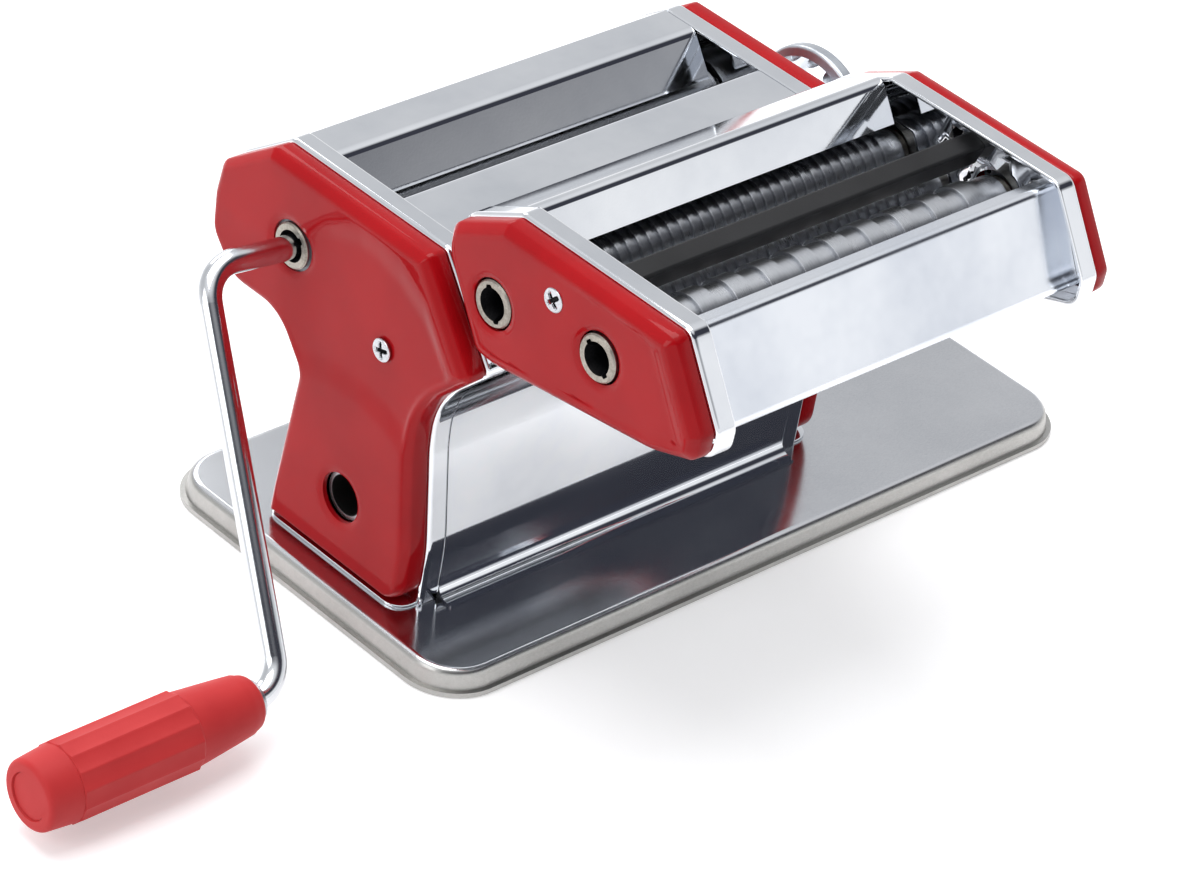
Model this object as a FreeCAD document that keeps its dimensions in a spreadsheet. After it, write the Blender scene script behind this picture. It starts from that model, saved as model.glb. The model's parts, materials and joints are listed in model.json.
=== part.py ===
import FreeCAD, Part
import math
import os
import re
import Sketcher
from FreeCAD import Rotation, Vector

# Hand cranked pasta machine: a sheet roller on a pressed tray, with a cutter
# attachment hooked on its front. X runs along the rollers with the crank on -X,
# the cutter is on -Y, Z is up and z = 0 is the table. All sizes are millimetres.

document = FreeCAD.newDocument("pasta_machine")
sheet = document.addObject("Spreadsheet::Sheet", "sizes")
aliases = set()
bodies = []
LEFT = -1
RIGHT = 1
SIDE_NAMES = {LEFT: "left", RIGHT: "right"}


def addSizes(group):
    # A value that starts with = is a formula on other sizes.
    for alias, number in group.items():
        row = len(aliases) + 1
        sheet.set(f"A{row}", alias)
        sheet.set(f"B{row}", str(number))
        sheet.setAlias(f"B{row}", alias)
        aliases.add(alias)


def addPlaces(places, start, prefix=""):
    # Points in the YZ plane, measured from a named one, some with a rounding radius.
    for name, (across, height, *radius) in places.items():
        alias = prefix + name
        group = {f"{alias}_y": f"={start}_y + ({across})", f"{alias}_z": f"={start}_z + ({height})"}
        if radius and radius[0]:
            group[f"{alias}_r"] = radius[0]
        addSizes(group)


# ---------------------------------------------------------------- the sizes

machine_sizes = {
    "frame_face": 76, "frame_sheet": 1.2, "frame_lip": 6.5, "lip_gap": 0.3, "foot_reach": 8,
    "foot_sheet": 1.5, "foot_front": -40, "foot_back": 20, "foot_corner": 6, "cover_depth": 8.5,
    "cover_sheet": 1.4, "cover_bevel": 2.2, "cover_foot_gap": 3, "cover_foot_round": 8,
    "cutter_face": "=frame_face - cutter_step", "cutter_step": 1.8, "cutter_cover_depth": 7.5,
    "cutter_sheet": 1.2, "cutter_lip": 6.5, "panel_sheet": 0.8, "running_gap": 0.05,
    "fit_gap": 0.1, "part_gap": 0.3,
}
addSizes(machine_sizes)
# The frame's outline, measured from the foot under the drive axis and from that axis.
foot_corners = {"toe": (-61, 0, 0), "shin": (-61.8, 20, 60), "heel": (0.8, 0, 0)}
axis_corners = {
    "knee": (-58, -40, 40), "crook": (-58, -23, 28), "nose": (-77.5, -3.5, 3),
    "brow": (-54.6, 26.4, 3), "crown": (12.9, 26.4, 4), "nape": (34.4, 10.9, 6),
    "back": (36.5, 0, 8), "hip": (36.3, -13, 10), "tuck": (25, -25.4, 12), "seat": (4, -25.4, 14),
    "waist": (-6.8, -38.5, 6),
}
frame_corners = ("toe", "shin", "knee", "crook", "nose", "brow", "crown", "nape", "back", "hip",
                 "tuck", "seat", "waist", "heel")
addPlaces(foot_corners, "foot", "frame_")
addPlaces(axis_corners, "drive", "frame_")
# The cutter frame's outline, measured from the axes of the two driven cutter rollers.
narrow_corners = {
    "root": (-2.2, -20.5, 0), "crown": (-0.2, 26.9, 4), "nape": (21.3, 15.8, 6), "back": (22, 6.3, 12),
    "heel": (5.8, -20.2, 7),
}
wide_corners = {
    "belly": (-22.7, -17.9, 30), "chin": (-40.2, -12, 6), "lips": (-41, -3.5, 5),
    "brow": (-25.5, 21.1, 5),
}
cutter_corners = ("root", "belly", "chin", "lips", "brow", "crown", "nape", "back", "heel")
addPlaces(narrow_corners, "narrow", "cutter_")
addPlaces(wide_corners, "wide", "cutter_")
tray_sizes = {
    "tray_left": "=-(frame_face + cover_depth + tray_near)",
    "tray_right": "=frame_face + cover_depth + tray_far", "tray_near": 8.5, "tray_far": 78.5,
    "tray_front": -73.5, "tray_back": 53, "tray_top": 8, "tray_sheet": 1, "tray_corner": 15,
    "tray_flare": 1.6, "tray_edge": 2.5, "tray_lift": 0.3, "bead_out": 1.2, "bead_height": 1.6,
    "mat_inset": 2, "base_screw_r": 1.75, "base_screw_head_r": 3.5, "base_screw_head": 2,
    "base_screw_front": -28, "base_screw_back": 10,
    "base_screw_x": "=frame_face + foot_reach / 2",
}
addSizes(tray_sizes)
roller_sizes = {
    "drive_y": 20, "drive_z": 100, "foot_y": "=drive_y", "foot_z": "=tray_top",
    "roller_r": 13, "roller_half": "=frame_face - roller_side",
    "roller_side": 2.5, "moving_y": "=drive_y - 2 * roller_r - nip_open",
    "nip_y": "=(drive_y + moving_y) / 2", "journal_r": 7.1,
    "journal_end": "=frame_face + cover_depth - part_gap",
    "journal_far_end": "=frame_face + journal_reach", "journal_reach": 3, "nip_open": 2.9,
    "nip_travel": 2.4, "bush_wall": 1.9, "bush_flange": 10.5, "bush_flange_sheet": 1.2,
    "moving_journal_r": 5.5, "socket_r": 3.8, "socket_depth": 22, "notch_r": 6.2,
    "notch_wide": 2.8, "notch_depth": 5.8, "gear_start": "=block_start + block_sheet + gear_gap",
    "gear_gap": 0.5, "gear_wide": 2.8, "gear_teeth": 18, "gear_tip": 14.6, "gear_root": 11.4,
    "tooth_foot": 3.0, "tooth_tip": 1.0, "block_start": "=frame_face + part_gap",
    "block_sheet": 3, "block_front": "=moving_y - block_ahead",
    "block_ahead": 9.6, "block_back": "=moving_y + block_behind",
    "block_behind": 12.1, "block_low": "=drive_z - block_drop",
    "block_drop": 23, "block_high": "=drive_z + block_rise",
    "block_rise": 10, "boss_wide": 15, "boss_high": 14, "boss_corner": 2, "slot_gap": 0.3,
    "yoke_r": 3, "yoke_z": "=drive_z - yoke_drop", "yoke_drop": 17.5,
}
addSizes(roller_sizes)
regulator_sizes = {
    "regulator_y": "=moving_y + regulator_behind", "regulator_behind": 3.4,
    "regulator_z": "=drive_z + regulator_rise", "regulator_rise": 0.5, "cam_r": 6,
    "cam_wide": 2.6, "cam_gap": 0.35, "window_wall": 3, "window_half": 8, "window_depth": 3,
    "spindle_r": 5, "square_wide": 7, "square_end": "=knob_face - square_short",
    "square_short": 4.6, "index_r": 19, "index_sheet": 2, "index_boss_r": 8, "index_boss": 1.9,
    "groove_r": 10.5, "groove_half": 1.75, "groove_depth": 1.4, "index_screw_r": 1.5,
    "index_screw_head_r": 2.5, "index_screw_ring": 15.5, "index_screw_length": 6,
    "index_screw_head": 1.2, "knob_gap": 0.5, "knob_step": 1, "knob_back_r": 14,
    "knob_cone_end": "=knob_face - knob_rim_wide", "knob_rim_wide": 5.5, "knob_cone_r": 19,
    "knob_rim_r": 22,
    "knob_face": "=frame_face + cover_depth + index_sheet + knob_gap + knob_long",
    "knob_long": 14.5, "knob_rim_round": 1.2, "knob_well_r": 6.8,
    "knob_well_floor": "=knob_face - knob_well_deep", "knob_well_deep": 10.5, "knob_flutes": 16,
    "flute_r": 2.6, "flute_rise": 1.4, "cap_sheet": 1, "spring_r": 5.8, "spring_wire": 0.8,
    "spring_pitch": 1.8, "knob_screw_r": 2, "knob_screw_head_r": 6.3, "knob_screw_head": 2,
    "knob_screw_length": 8, "pin_r": 1.5,
}
addSizes(regulator_sizes)
fitting_sizes = {
    "rod_r": 3, "stud_r": 2, "nut_r": 3.6, "nut_thick": 3.2, "clamp_out_r": 7.7,
    "clamp_bore_r": 6.2, "clamp_inner": "=frame_face - clamp_reach",
    "clamp_reach": 28, "clamp_recess": 3, "cover_hub_r": 8.5, "screw_r": 2, "screw_head_r": 3.6,
    "screw_head": 1.2, "screw_depth": 12, "cutter_screw_depth": 8.5,
}
addSizes(fitting_sizes)
panel_sizes = {
    "lap": 0.17, "lap_gap": 0.01, "sheet_bend": 1.2, "panel_foot": 6, "panel_bend": 4,
    "inlet_front_y": "=nip_y - inlet_front_reach", "inlet_front_reach": 4.05,
    "inlet_back_y": "=nip_y + inlet_back_reach", "inlet_back_reach": 5.45,
    "inlet_low": "=drive_z + roller_r + inlet_gap", "inlet_gap": 0.5,
    "inlet_front_top": "=nip_y - inlet_front_spread", "inlet_front_spread": 12.55,
    "inlet_back_top": "=nip_y + inlet_back_spread", "inlet_back_spread": 14.45, "inlet_round": 4,
    "chute_front_y": "=moving_y - chute_ahead", "chute_ahead": 24.1,
    "chute_front_z": "=drive_z - chute_front_drop", "chute_front_drop": 12,
    "chute_back_y": "=moving_y + chute_behind", "chute_behind": 19.9,
    "chute_back_z": "=drive_z - chute_back_drop", "chute_back_drop": 36, "rear_share": 0.75,
    "rear_foot": 5, "waist_share": 0.13, "scraper_tip_y": "=drive_y + scraper_reach",
    "scraper_reach": "=(roller_r + scraper_gap) * sqrt(0.5)",
    "scraper_gap": 0.3, "scraper_tip_z": "=drive_z - scraper_reach",
    "scraper_bar_y": "=drive_y + scraper_bar_reach", "scraper_bar_reach": 17,
    "scraper_bar_z": "=drive_z - scraper_bar_reach", "scraper_bar_wide": 7, "scraper_bar_high": 3,
    "scraper_blade": 1.2, "scraper_hub_r": 4.2, "scraper_side_gap": 1.5,
    "front_tip_y": "=moving_y - scraper_reach",
    "front_tip_z": "=drive_z - scraper_reach - front_tip_drop",
    "front_tip_drop": 0.2, "blade_low_angle": 188, "blade_high_angle": 140,
}
addSizes(panel_sizes)
crank_sizes = {
    "crank_angle": 42, "crank_rod_r": 3.7, "crank_tip": "=journal_end - crank_in",
    "crank_in": 21.2, "crank_corner_x": "=journal_end + crank_out",
    "crank_out": 30.3, "crank_straight": "=journal_end + crank_straight_out",
    "crank_straight_out": 3.8, "crank_ease_r": 60, "crank_corner_rise": 2.6, "crank_corner_r": 12,
    "crank_low_x": "=crank_corner_x + crank_lean", "crank_lean": 26.9, "crank_low_r": 11,
    "grip_drop": 114, "grip_start": "=crank_low_x + grip_step",
    "grip_step": 10.1, "grip_end": "=grip_start + grip_long",
    "grip_long": 76.5, "grip_r": 12, "grip_neck_r": 8.3, "grip_shoulder": 25, "grip_cone_r": 11.2,
    "grip_round": 1.5, "grip_collar": 10, "grip_collar_r": 11.4, "grip_flute_r": 14,
    "grip_flutes": 10, "grip_flute_depth": 0.9, "grip_bore_gap": 0.1,
    "rod_end_x": "=grip_end - rod_end_gap", "rod_end_gap": 5.4, "rivet_r": 6, "rivet_thick": 2,
    "grip_cap_r": 6.8, "grip_cap_inset": 0.6, "grip_cap_thick": 1.6, "crank_pin_r": 1.3,
    "crank_pin_half": 6, "crank_pin_x": "=journal_end - crank_pin_in",
    "crank_pin_in": 4.2, "washer_r": 6, "washer_thick": 1,
}
addSizes(crank_sizes)
cutter_sizes = {
    "narrow_y": "=frame_nose_y - narrow_ahead", "narrow_ahead": 2.3,
    "narrow_z": "=frame_nose_z + narrow_rise", "narrow_rise": 27.2,
    "wide_y": "=narrow_y - wide_ahead", "wide_ahead": 41.5, "wide_z": "=narrow_z + wide_rise",
    "wide_rise": 5.8, "cutter_axes": 17.2, "narrow_fall": 12, "wide_fall": 27, "narrow_notch": 64,
    "wide_notch": 43, "cutter_tip": 9, "cutter_root": 7.9,
    "cutter_body_half": "=cutter_face - cutter_side", "cutter_side": 2.7, "narrow_pitch": 4,
    "narrow_disc": 1.9, "narrow_count": 33, "wide_pitch": 13, "wide_disc": 6.4, "wide_count": 10,
    "cutter_journal_end": "=cutter_face + cutter_cover_depth - cutter_journal_short",
    "cutter_journal_short": 0.5, "cutter_far_r": 4,
    "cutter_far_end": "=cutter_face + cutter_far_reach", "cutter_far_reach": 5.3,
    "cutter_mate_end": "=cutter_face + cutter_mate_reach", "cutter_mate_reach": 1.6,
    "mate_bush_wall": 2, "cutter_flange": 0.8, "cutter_flange_sheet": 1,
    "cutter_gear_start": "=cutter_face + cutter_gear_gap", "cutter_gear_gap": 2.3,
    "cutter_gear_wide": 2.4, "cutter_teeth": 16, "cutter_gear_tip": 9.3, "cutter_gear_root": 7.7,
    "cutter_tooth_foot": 1.9, "cutter_tooth_tip": 0.7, "cutter_rod_r": 2.5, "cutter_rivet_r": 1.5,
    "cutter_rivet_thick": 1.5, "tongue_front": "=narrow_y + tongue_behind",
    "tongue_behind": 13.8, "tongue_back": "=tongue_front + tongue_wide",
    "tongue_wide": 8, "tongue_low": "=narrow_z - tongue_drop",
    "tongue_drop": 19.7, "tongue_high": "=tongue_low + tongue_long",
    "tongue_long": 20, "tongue_gap": 0.4, "front_roll": 2.6, "front_return": 5, "front_tuck": 0.8,
    "narrow_finger": 1.5, "comb_reach": 0.4, "comb_near": 75, "comb_far": 110,
    "comb_bar_high": 3.5, "comb_bar_wide": 6, "wide_finger": 5.6,
    "mouth_front": "=wide_y - mouth_ahead", "mouth_ahead": 32.7,
    "mouth_back": "=narrow_y - mouth_inset", "mouth_inset": 6.2, "guide_round": 1,
}
addSizes(cutter_sizes)
foot_places = {"rod_three": (-52, 22), "rod_four": (-8, 18), "clamp": (-31.3, 23.3)}
axis_places = {
    "rod_one": (-66, -3), "rod_two": (24, -4), "cover_screw": (-41.8, -11.7), "far_screw": (-56, 8),
}
narrow_places = {
    "cutter_rod_two": (12.8, 10.3), "rear_low": (6.6, -18.7), "inlet_lip": (2.8, 25.6),
    "inlet_throat": (-4.7, 13.8), "narrow_bar": (-1.7, -17.7),
}
wide_places = {
    "cutter_rod_one": (-13.7, 8), "cutter_screw": (18.6, 8.4), "front_top": (-21.5, 17.4),
    "front_low": (-36.1, -10.1), "wide_bar": (0.3, -19.5), "guide_back": (18.8, 10.5),
    "guide_top": (12.8, 16.5), "guide_front": (6.8, 14.5), "guide_low": (9.3, 7.5),
    "guide_foot": (16.3, 3.5),
}
addPlaces(foot_places, "foot")
addPlaces(axis_places, "drive")
addPlaces(narrow_places, "narrow")
addPlaces(wide_places, "wide")
document.recompute()


# ------------------------------------------------------------- small helpers

WORD = re.compile(r"[a-z][a-z0-9_]*")


def bound(text):
    # The same formula with each alias written as the sheet's own cell.
    return WORD.sub(lambda found: qualified(found.group()), str(text))


def qualified(word):
    return f"sizes.{word}" if word in aliases else word


def size(text):
    return float(sheet.evalExpression(bound(text)))


def bind(item, path, text):
    item.setExpression(path, bound(text))


def corner(prefix, name):
    radius = f"{prefix}_{name}_r"
    return (f"{prefix}_{name}_y", f"{prefix}_{name}_z", radius if radius in aliases else None)


def sharp(*points):
    return [(across, height, None) for across, height in points]


def oblong(low_x, high_x, low_y, high_y, radius=None):
    corners = ((low_x, low_y), (high_x, low_y), (high_x, high_y), (low_x, high_y))
    return [(across, height, radius) for across, height in corners]


def arcAt(before, point, after, radius):
    # Tangent arc that rounds a corner: its two ends, centre, end angles and turn.
    to_before = (before - point).normalize()
    to_after = (after - point).normalize()
    half = to_before.getAngle(to_after) / 2
    start = point + to_before * (radius / math.tan(half))
    end = point + to_after * (radius / math.tan(half))
    centre = point + (to_before + to_after).normalize() * (radius / math.sin(half))
    turns_left = to_before.cross(to_after).z < 0
    first = math.atan2(start.y - centre.y, start.x - centre.x)
    last = math.atan2(end.y - centre.y, end.x - centre.x)
    if not turns_left:
        first, last = last, first
    if last < first:
        last += 2 * math.pi
    return start, end, centre, first, last, turns_left


def circleArc(centre, radius, first, last):
    return Part.ArcOfCircle(Part.Circle(centre, Vector(0, 0, 1), radius), first, last)


class Constraints:
    # Collects a sketch's constraints with the formulas of their values.
    def __init__(self, sketch):
        self.sketch = sketch
        self.listed = []
        self.formulas = []

    def add(self, *parts, formula=None):
        self.listed.append(Sketcher.Constraint(*parts))
        if formula is not None:
            self.formulas.append((len(self.listed) - 1, formula))

    def place(self, geometry, vertex, across, height, point):
        self.add("DistanceX", -1, 1, geometry, vertex, point.x, formula=across)
        self.add("DistanceY", -1, 1, geometry, vertex, point.y, formula=height)

    def apply(self):
        first = self.sketch.ConstraintCount
        self.sketch.addConstraint(self.listed)
        for index, formula in self.formulas:
            bind(self.sketch, f"Constraints[{first + index}]", formula)


def roundCorner(sketch, rules, corner_texts, points, line_before, line_after):
    # A tangent arc between two lines, steered by its construction corner.
    across, height, radius_text = corner_texts
    before, point, after = points
    radius = size(radius_text)
    start, end, centre, first, last, turns_left = arcAt(before, point, after, radius)
    arc = sketch.addGeometry(circleArc(centre, radius, first, last))
    mark = sketch.addGeometry(Part.Point(point), True)
    near, far = (1, 2) if turns_left else (2, 1)
    rules.add("Tangent", line_before, 2, arc, near)
    rules.add("Tangent", arc, far, line_after, 1)
    rules.add("Radius", arc, radius, formula=radius_text)
    rules.place(mark, 1, across, height, point)
    rules.add("PointOnObject", mark, 1, line_before)
    rules.add("PointOnObject", mark, 1, line_after)
    return arc


def cornerEnds(points, corners, closed):
    # Where each straight run starts and ends once its corners are rounded.
    count = len(points)
    starts = list(points)
    ends = list(points)
    for index, (across, height, radius) in enumerate(corners):
        inside = closed or 0 < index < count - 1
        if radius and inside:
            arc = arcAt(points[index - 1], points[index], points[(index + 1) % count], size(radius))
            starts[index] = arc[0]
            ends[index] = arc[1]
    return starts, ends


def outline(sketch, corners):
    # A closed outline through rounded or sharp corners, each bound to the sheet.
    count = len(corners)
    points = [Vector(size(across), size(height), 0) for across, height, radius in corners]
    starts, ends = cornerEnds(points, corners, True)
    rules = Constraints(sketch)
    lines = []
    for index in range(count):
        lines.append(sketch.addGeometry(Part.LineSegment(ends[index], starts[(index + 1) % count])))
    for index, texts in enumerate(corners):
        line_before, line_after = lines[index - 1], lines[index]
        if texts[2]:
            around = (points[index - 1], points[index], points[(index + 1) % count])
            roundCorner(sketch, rules, texts, around, line_before, line_after)
        else:
            rules.add("Coincident", line_before, 2, line_after, 1)
            rules.place(line_after, 1, texts[0], texts[1], points[index])
    rules.apply()


def circle(sketch, across, height, radius):
    centre = Vector(size(across), size(height), 0)
    rules = Constraints(sketch)
    ring = sketch.addGeometry(Part.Circle(centre, Vector(0, 0, 1), size(radius)))
    rules.add("Radius", ring, size(radius), formula=radius)
    rules.place(ring, 3, across, height, centre)
    rules.apply()


def bentStrip(sketch, corners, thickness, side):
    # A bent sheet seen edge on: the path through its corners on one face, the
    # same path a sheet's thickness away (side 1 is the left hand), and two ends.
    points = [Vector(size(across), size(height), 0) for across, height, radius in corners]
    starts, ends = cornerEnds(points, corners, False)
    depth = size(thickness)
    rules = Constraints(sketch)
    outer = []
    inner = []
    last_line = len(points) - 1
    for index in range(last_line):
        first, second = ends[index], starts[index + 1]
        along = (second - first).normalize()
        shift = Vector(-along.y, along.x, 0) * (side * depth)
        outer.append(sketch.addGeometry(Part.LineSegment(first, second)))
        inner.append(sketch.addGeometry(Part.LineSegment(first + shift, second + shift)))
        rules.add("Parallel", outer[index], inner[index])
    rules.add("Distance", inner[0], 1, outer[0], depth, formula=thickness)
    rules.place(outer[0], 1, corners[0][0], corners[0][1], points[0])
    rules.place(outer[-1], 2, corners[-1][0], corners[-1][1], points[-1])
    for index in range(1, last_line):
        around = points[index - 1:index + 2]
        arc = roundCorner(sketch, rules, corners[index], around, outer[index - 1], outer[index])
        start, end, centre, first, last, turns_left = arcAt(*around, size(corners[index][2]))
        reach = size(corners[index][2]) - depth * side * (1 if turns_left else -1)
        twin = sketch.addGeometry(circleArc(centre, reach, first, last))
        near, far = (1, 2) if turns_left else (2, 1)
        rules.add("Coincident", twin, 3, arc, 3)
        rules.add("Tangent", inner[index - 1], 2, twin, near)
        rules.add("Tangent", twin, far, inner[index], 1)
    for outer_line, inner_line, vertex in ((outer[0], inner[0], 1), (outer[-1], inner[-1], 2)):
        first = sketch.getPoint(outer_line, vertex)
        second = sketch.getPoint(inner_line, vertex)
        end = sketch.addGeometry(Part.LineSegment(first, second))
        rules.add("Coincident", end, 1, outer_line, vertex)
        rules.add("Coincident", end, 2, inner_line, vertex)
        rules.add("Perpendicular", end, outer_line)
    rules.apply()


def newBody(name):
    body = document.addObject("PartDesign::Body", name)
    body.Label = name
    bodies.append(body)
    return body


def place(body, along="0", across="0", height="0", angle=None):
    # Moves a body, and turns it about the X direction where an angle is given.
    if angle is not None:
        body.Placement.Rotation = Rotation(Vector(1, 0, 0), 1)
        bind(body, "Placement.Rotation.Angle", angle)
    bind(body, "Placement.Base.x", along)
    bind(body, "Placement.Base.y", across)
    bind(body, "Placement.Base.z", height)


def origin(body, role):
    return next(item for item in body.Origin.OriginFeatures if item.Role == role)


def sketchOn(body, role, offset, draw):
    sketch = body.newObject("Sketcher::SketchObject", "sketch")
    sketch.AttachmentSupport = (origin(body, role), [""])
    sketch.MapMode = "FlatFace"
    bind(sketch, "AttachmentOffset.Base.z", offset)
    draw(sketch)
    return sketch


def pad(body, start, end, draw, role="YZ_Plane"):
    feature = body.newObject("PartDesign::Pad", "pad")
    feature.Profile = sketchOn(body, role, start, draw)
    bind(feature, "Length", f"({end}) - ({start})")
    document.recompute()
    return feature


def pocket(body, start, end, draw, role="YZ_Plane"):
    before = body.Shape.Volume
    feature = body.newObject("PartDesign::Pocket", "pocket")
    feature.Profile = sketchOn(body, role, start, draw)
    feature.Reversed = True
    bind(feature, "Length", f"({end}) - ({start})")
    document.recompute()
    if body.Shape.Volume > before - 1e-6:
        raise ValueError(f"a pocket of {body.Label} cuts nothing")
    return feature


def turned(body, corners):
    # A solid of revolution about X through the body's own origin.
    feature = body.newObject("PartDesign::Revolution", "turning")
    feature.Profile = sketchOn(body, "XZ_Plane", "0", lambda sketch: outline(sketch, corners))
    feature.ReferenceAxis = (origin(body, "X_Axis"), [""])
    feature.Angle = 360
    document.recompute()
    return feature


def span(side, near, far):
    # From |x| = near to |x| = far on one side, in the direction of +X.
    if side == RIGHT:
        return near, far
    return f"-({far})", f"-({near})"


def signed(side, text):
    return text if side == RIGHT else f"-({text})"


def flatFaces(shape, axis, value):
    # Names of the flat faces square to an axis at one value along it.
    found = []
    for index, face in enumerate(shape.Faces, 1):
        centre = face.CenterOfMass
        level = getattr(centre, axis)
        box = face.BoundBox
        thin = getattr(box, f"{axis.upper()}Length") < 1e-6
        if thin and abs(level - value) < 1e-4:
            found.append(f"Face{index}")
    return found


def hollow(body, axis, value, wall):
    # Shells the body to a sheet, open at one flat face.
    base = body.Tip
    feature = body.newObject("PartDesign::Thickness", "shell")
    feature.Base = (base, flatFaces(base.Shape, axis, size(value)))
    bind(feature, "Value", wall)
    feature.Reversed = True
    feature.Join = 0
    document.recompute()
    return feature


def edgesAt(shape, axis, value):
    # Names of the edges that lie wholly at one value along an axis.
    found = []
    for index, edge in enumerate(shape.Edges, 1):
        box = edge.BoundBox
        low = getattr(box, f"{axis.upper()}Min")
        high = getattr(box, f"{axis.upper()}Max")
        if abs(low - value) < 1e-4 and abs(high - value) < 1e-4:
            found.append(f"Edge{index}")
    return found


def trim(body, kind, axis, value, width):
    # A chamfer or fillet round the edges at one level.
    base = body.Tip
    feature = body.newObject(f"PartDesign::{kind}", kind.lower())
    feature.Base = (base, edgesAt(base.Shape, axis, size(value)))
    bind(feature, "Size" if kind == "Chamfer" else "Radius", width)
    document.recompute()
    return feature


def repeatLine(body, feature, pitch, count):
    pattern = body.newObject("PartDesign::LinearPattern", "row")
    pattern.Originals = [feature]
    pattern.Direction = (origin(body, "X_Axis"), [""])
    pattern.Mode = "Spacing"
    bind(pattern, "Offset", pitch)
    bind(pattern, "Occurrences", count)
    body.Tip = pattern
    document.recompute()
    return pattern


def repeatRound(body, feature, count):
    pattern = body.newObject("PartDesign::PolarPattern", "ring")
    pattern.Originals = [feature]
    pattern.Axis = (origin(body, "X_Axis"), [""])
    pattern.Angle = 360
    bind(pattern, "Occurrences", count)
    body.Tip = pattern
    document.recompute()
    return pattern


def drawOutline(corners):
    return lambda sketch: outline(sketch, corners)


def drawCircles(*circles):
    def draw(sketch):
        for across, height, radius in circles:
            circle(sketch, across, height, radius)
    return draw


def drawStrip(corners, thickness, side):
    return lambda sketch: bentStrip(sketch, corners, thickness, side)


def group(name, members):
    # Loose pieces of one kind, kept together in one sub-part.
    compound = document.addObject("Part::Compound", name)
    compound.Label = name
    compound.Links = members
    bodies.append(compound)
    for member in members:
        bodies.remove(member)
    return compound


# ------------------------------------------------------------------ the base

def basePlate():
    # Pressed mirror tray: flat top, flaring skirt and a rolled bead below.
    body = newBody("base_plate")
    flare = "tray_flare"
    low = oblong(f"tray_left - {flare}", f"tray_right + {flare}", f"tray_front - {flare}",
                 f"tray_back + {flare}", f"tray_corner + {flare}")
    skirt = pad(body, "tray_lift", "tray_top", drawOutline(low), "XY_Plane")
    bind(skirt, "TaperAngle", "-atan(tray_flare / (tray_top - tray_lift))")
    document.recompute()
    trim(body, "Fillet", "z", "tray_top", "tray_edge")
    inset = f"{flare} - tray_sheet"
    inner = oblong(f"tray_left - ({inset})", f"tray_right + {inset}", f"tray_front - ({inset})",
                   f"tray_back + {inset}", f"tray_corner + {inset}")
    well = pocket(body, "tray_lift", "tray_top - tray_sheet", drawOutline(inner), "XY_Plane")
    bind(well, "TaperAngle", "-atan(tray_flare / (tray_top - tray_lift))")
    document.recompute()
    trim(body, "Fillet", "z", "tray_top - tray_sheet", "tray_edge - tray_sheet")

    def ring(sketch):
        reach = f"{flare} + bead_out"
        inner = f"{flare} - tray_sheet / 2"
        for step in (reach, inner):
            corners = oblong(f"tray_left - ({step})", f"tray_right + {step}", f"tray_front - ({step})",
                             f"tray_back + {step}", f"tray_corner + {step}")
            outline(sketch, corners)
    pad(body, "tray_lift", "tray_lift + bead_height", ring, "XY_Plane")
    holes = drawCircles(*screwSpots("base_screw_r"))
    pocket(body, "tray_top - 2 * tray_sheet", "tray_top + 1", holes, "XY_Plane")


def screwSpots(radius):
    spots = []
    for along in ("base_screw_x", "-base_screw_x"):
        for across in ("base_screw_front", "base_screw_back"):
            spots.append((along, across, radius))
    return spots


def baseMat():
    # Foam pad that fills the tray and stands on the table.
    body = newBody("base_mat")
    inset = "mat_inset"
    corners = oblong(f"tray_left + {inset}", f"tray_right - {inset}", f"tray_front + {inset}",
                     f"tray_back - {inset}", f"tray_corner - {inset}")
    pad(body, "0", "tray_top - tray_sheet", drawOutline(corners), "XY_Plane")
    wells = drawCircles(*screwSpots("base_screw_head_r + 2 * part_gap"))
    floor = "tray_top - tray_sheet - base_screw_head - 3 * part_gap"
    pocket(body, floor, "tray_top", wells, "XY_Plane")


def baseScrews():
    members = []
    for along, across, radius in screwSpots("base_screw_r"):
        body = newBody("base_screw")
        under = "tray_top - tray_sheet"
        head = drawCircles((along, across, "base_screw_head_r"))
        pad(body, f"{under} - base_screw_head", under, head, "XY_Plane")
        shank = drawCircles((along, across, radius))
        pad(body, f"{under} - base_screw_head / 2", "tray_top + foot_sheet", shank, "XY_Plane")
        members.append(body)
    group("base_screws", members)


# ------------------------------------------------------- side frames, covers

def outlineOf(prefix, names):
    return [corner(prefix, name) for name in names]


def frameOutline():
    return outlineOf("frame", frame_corners)


def coverOutline():
    # The cover stops above the frame's foot, with a rounded front corner.
    corners = frameOutline()
    lean = "(frame_shin_y - frame_toe_y) * cover_foot_gap / (frame_shin_z - frame_toe_z)"
    corners[0] = (f"frame_toe_y + {lean}", "frame_toe_z + cover_foot_gap", "cover_foot_round")
    slope = "(frame_heel_y - frame_waist_y) * cover_foot_gap / (frame_waist_z - frame_heel_z)"
    corners[-1] = (f"frame_heel_y - {slope}", "frame_heel_z + cover_foot_gap", None)
    return corners


def tieRodSpots(radius):
    return [(f"rod_{name}_y", f"rod_{name}_z", radius) for name in ("one", "two", "three", "four")]


def slot(low_y, high_y, middle_z, half_high, radius):
    return oblong(low_y, high_y, f"{middle_z} - {half_high}", f"{middle_z} + {half_high}", radius)


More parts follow.
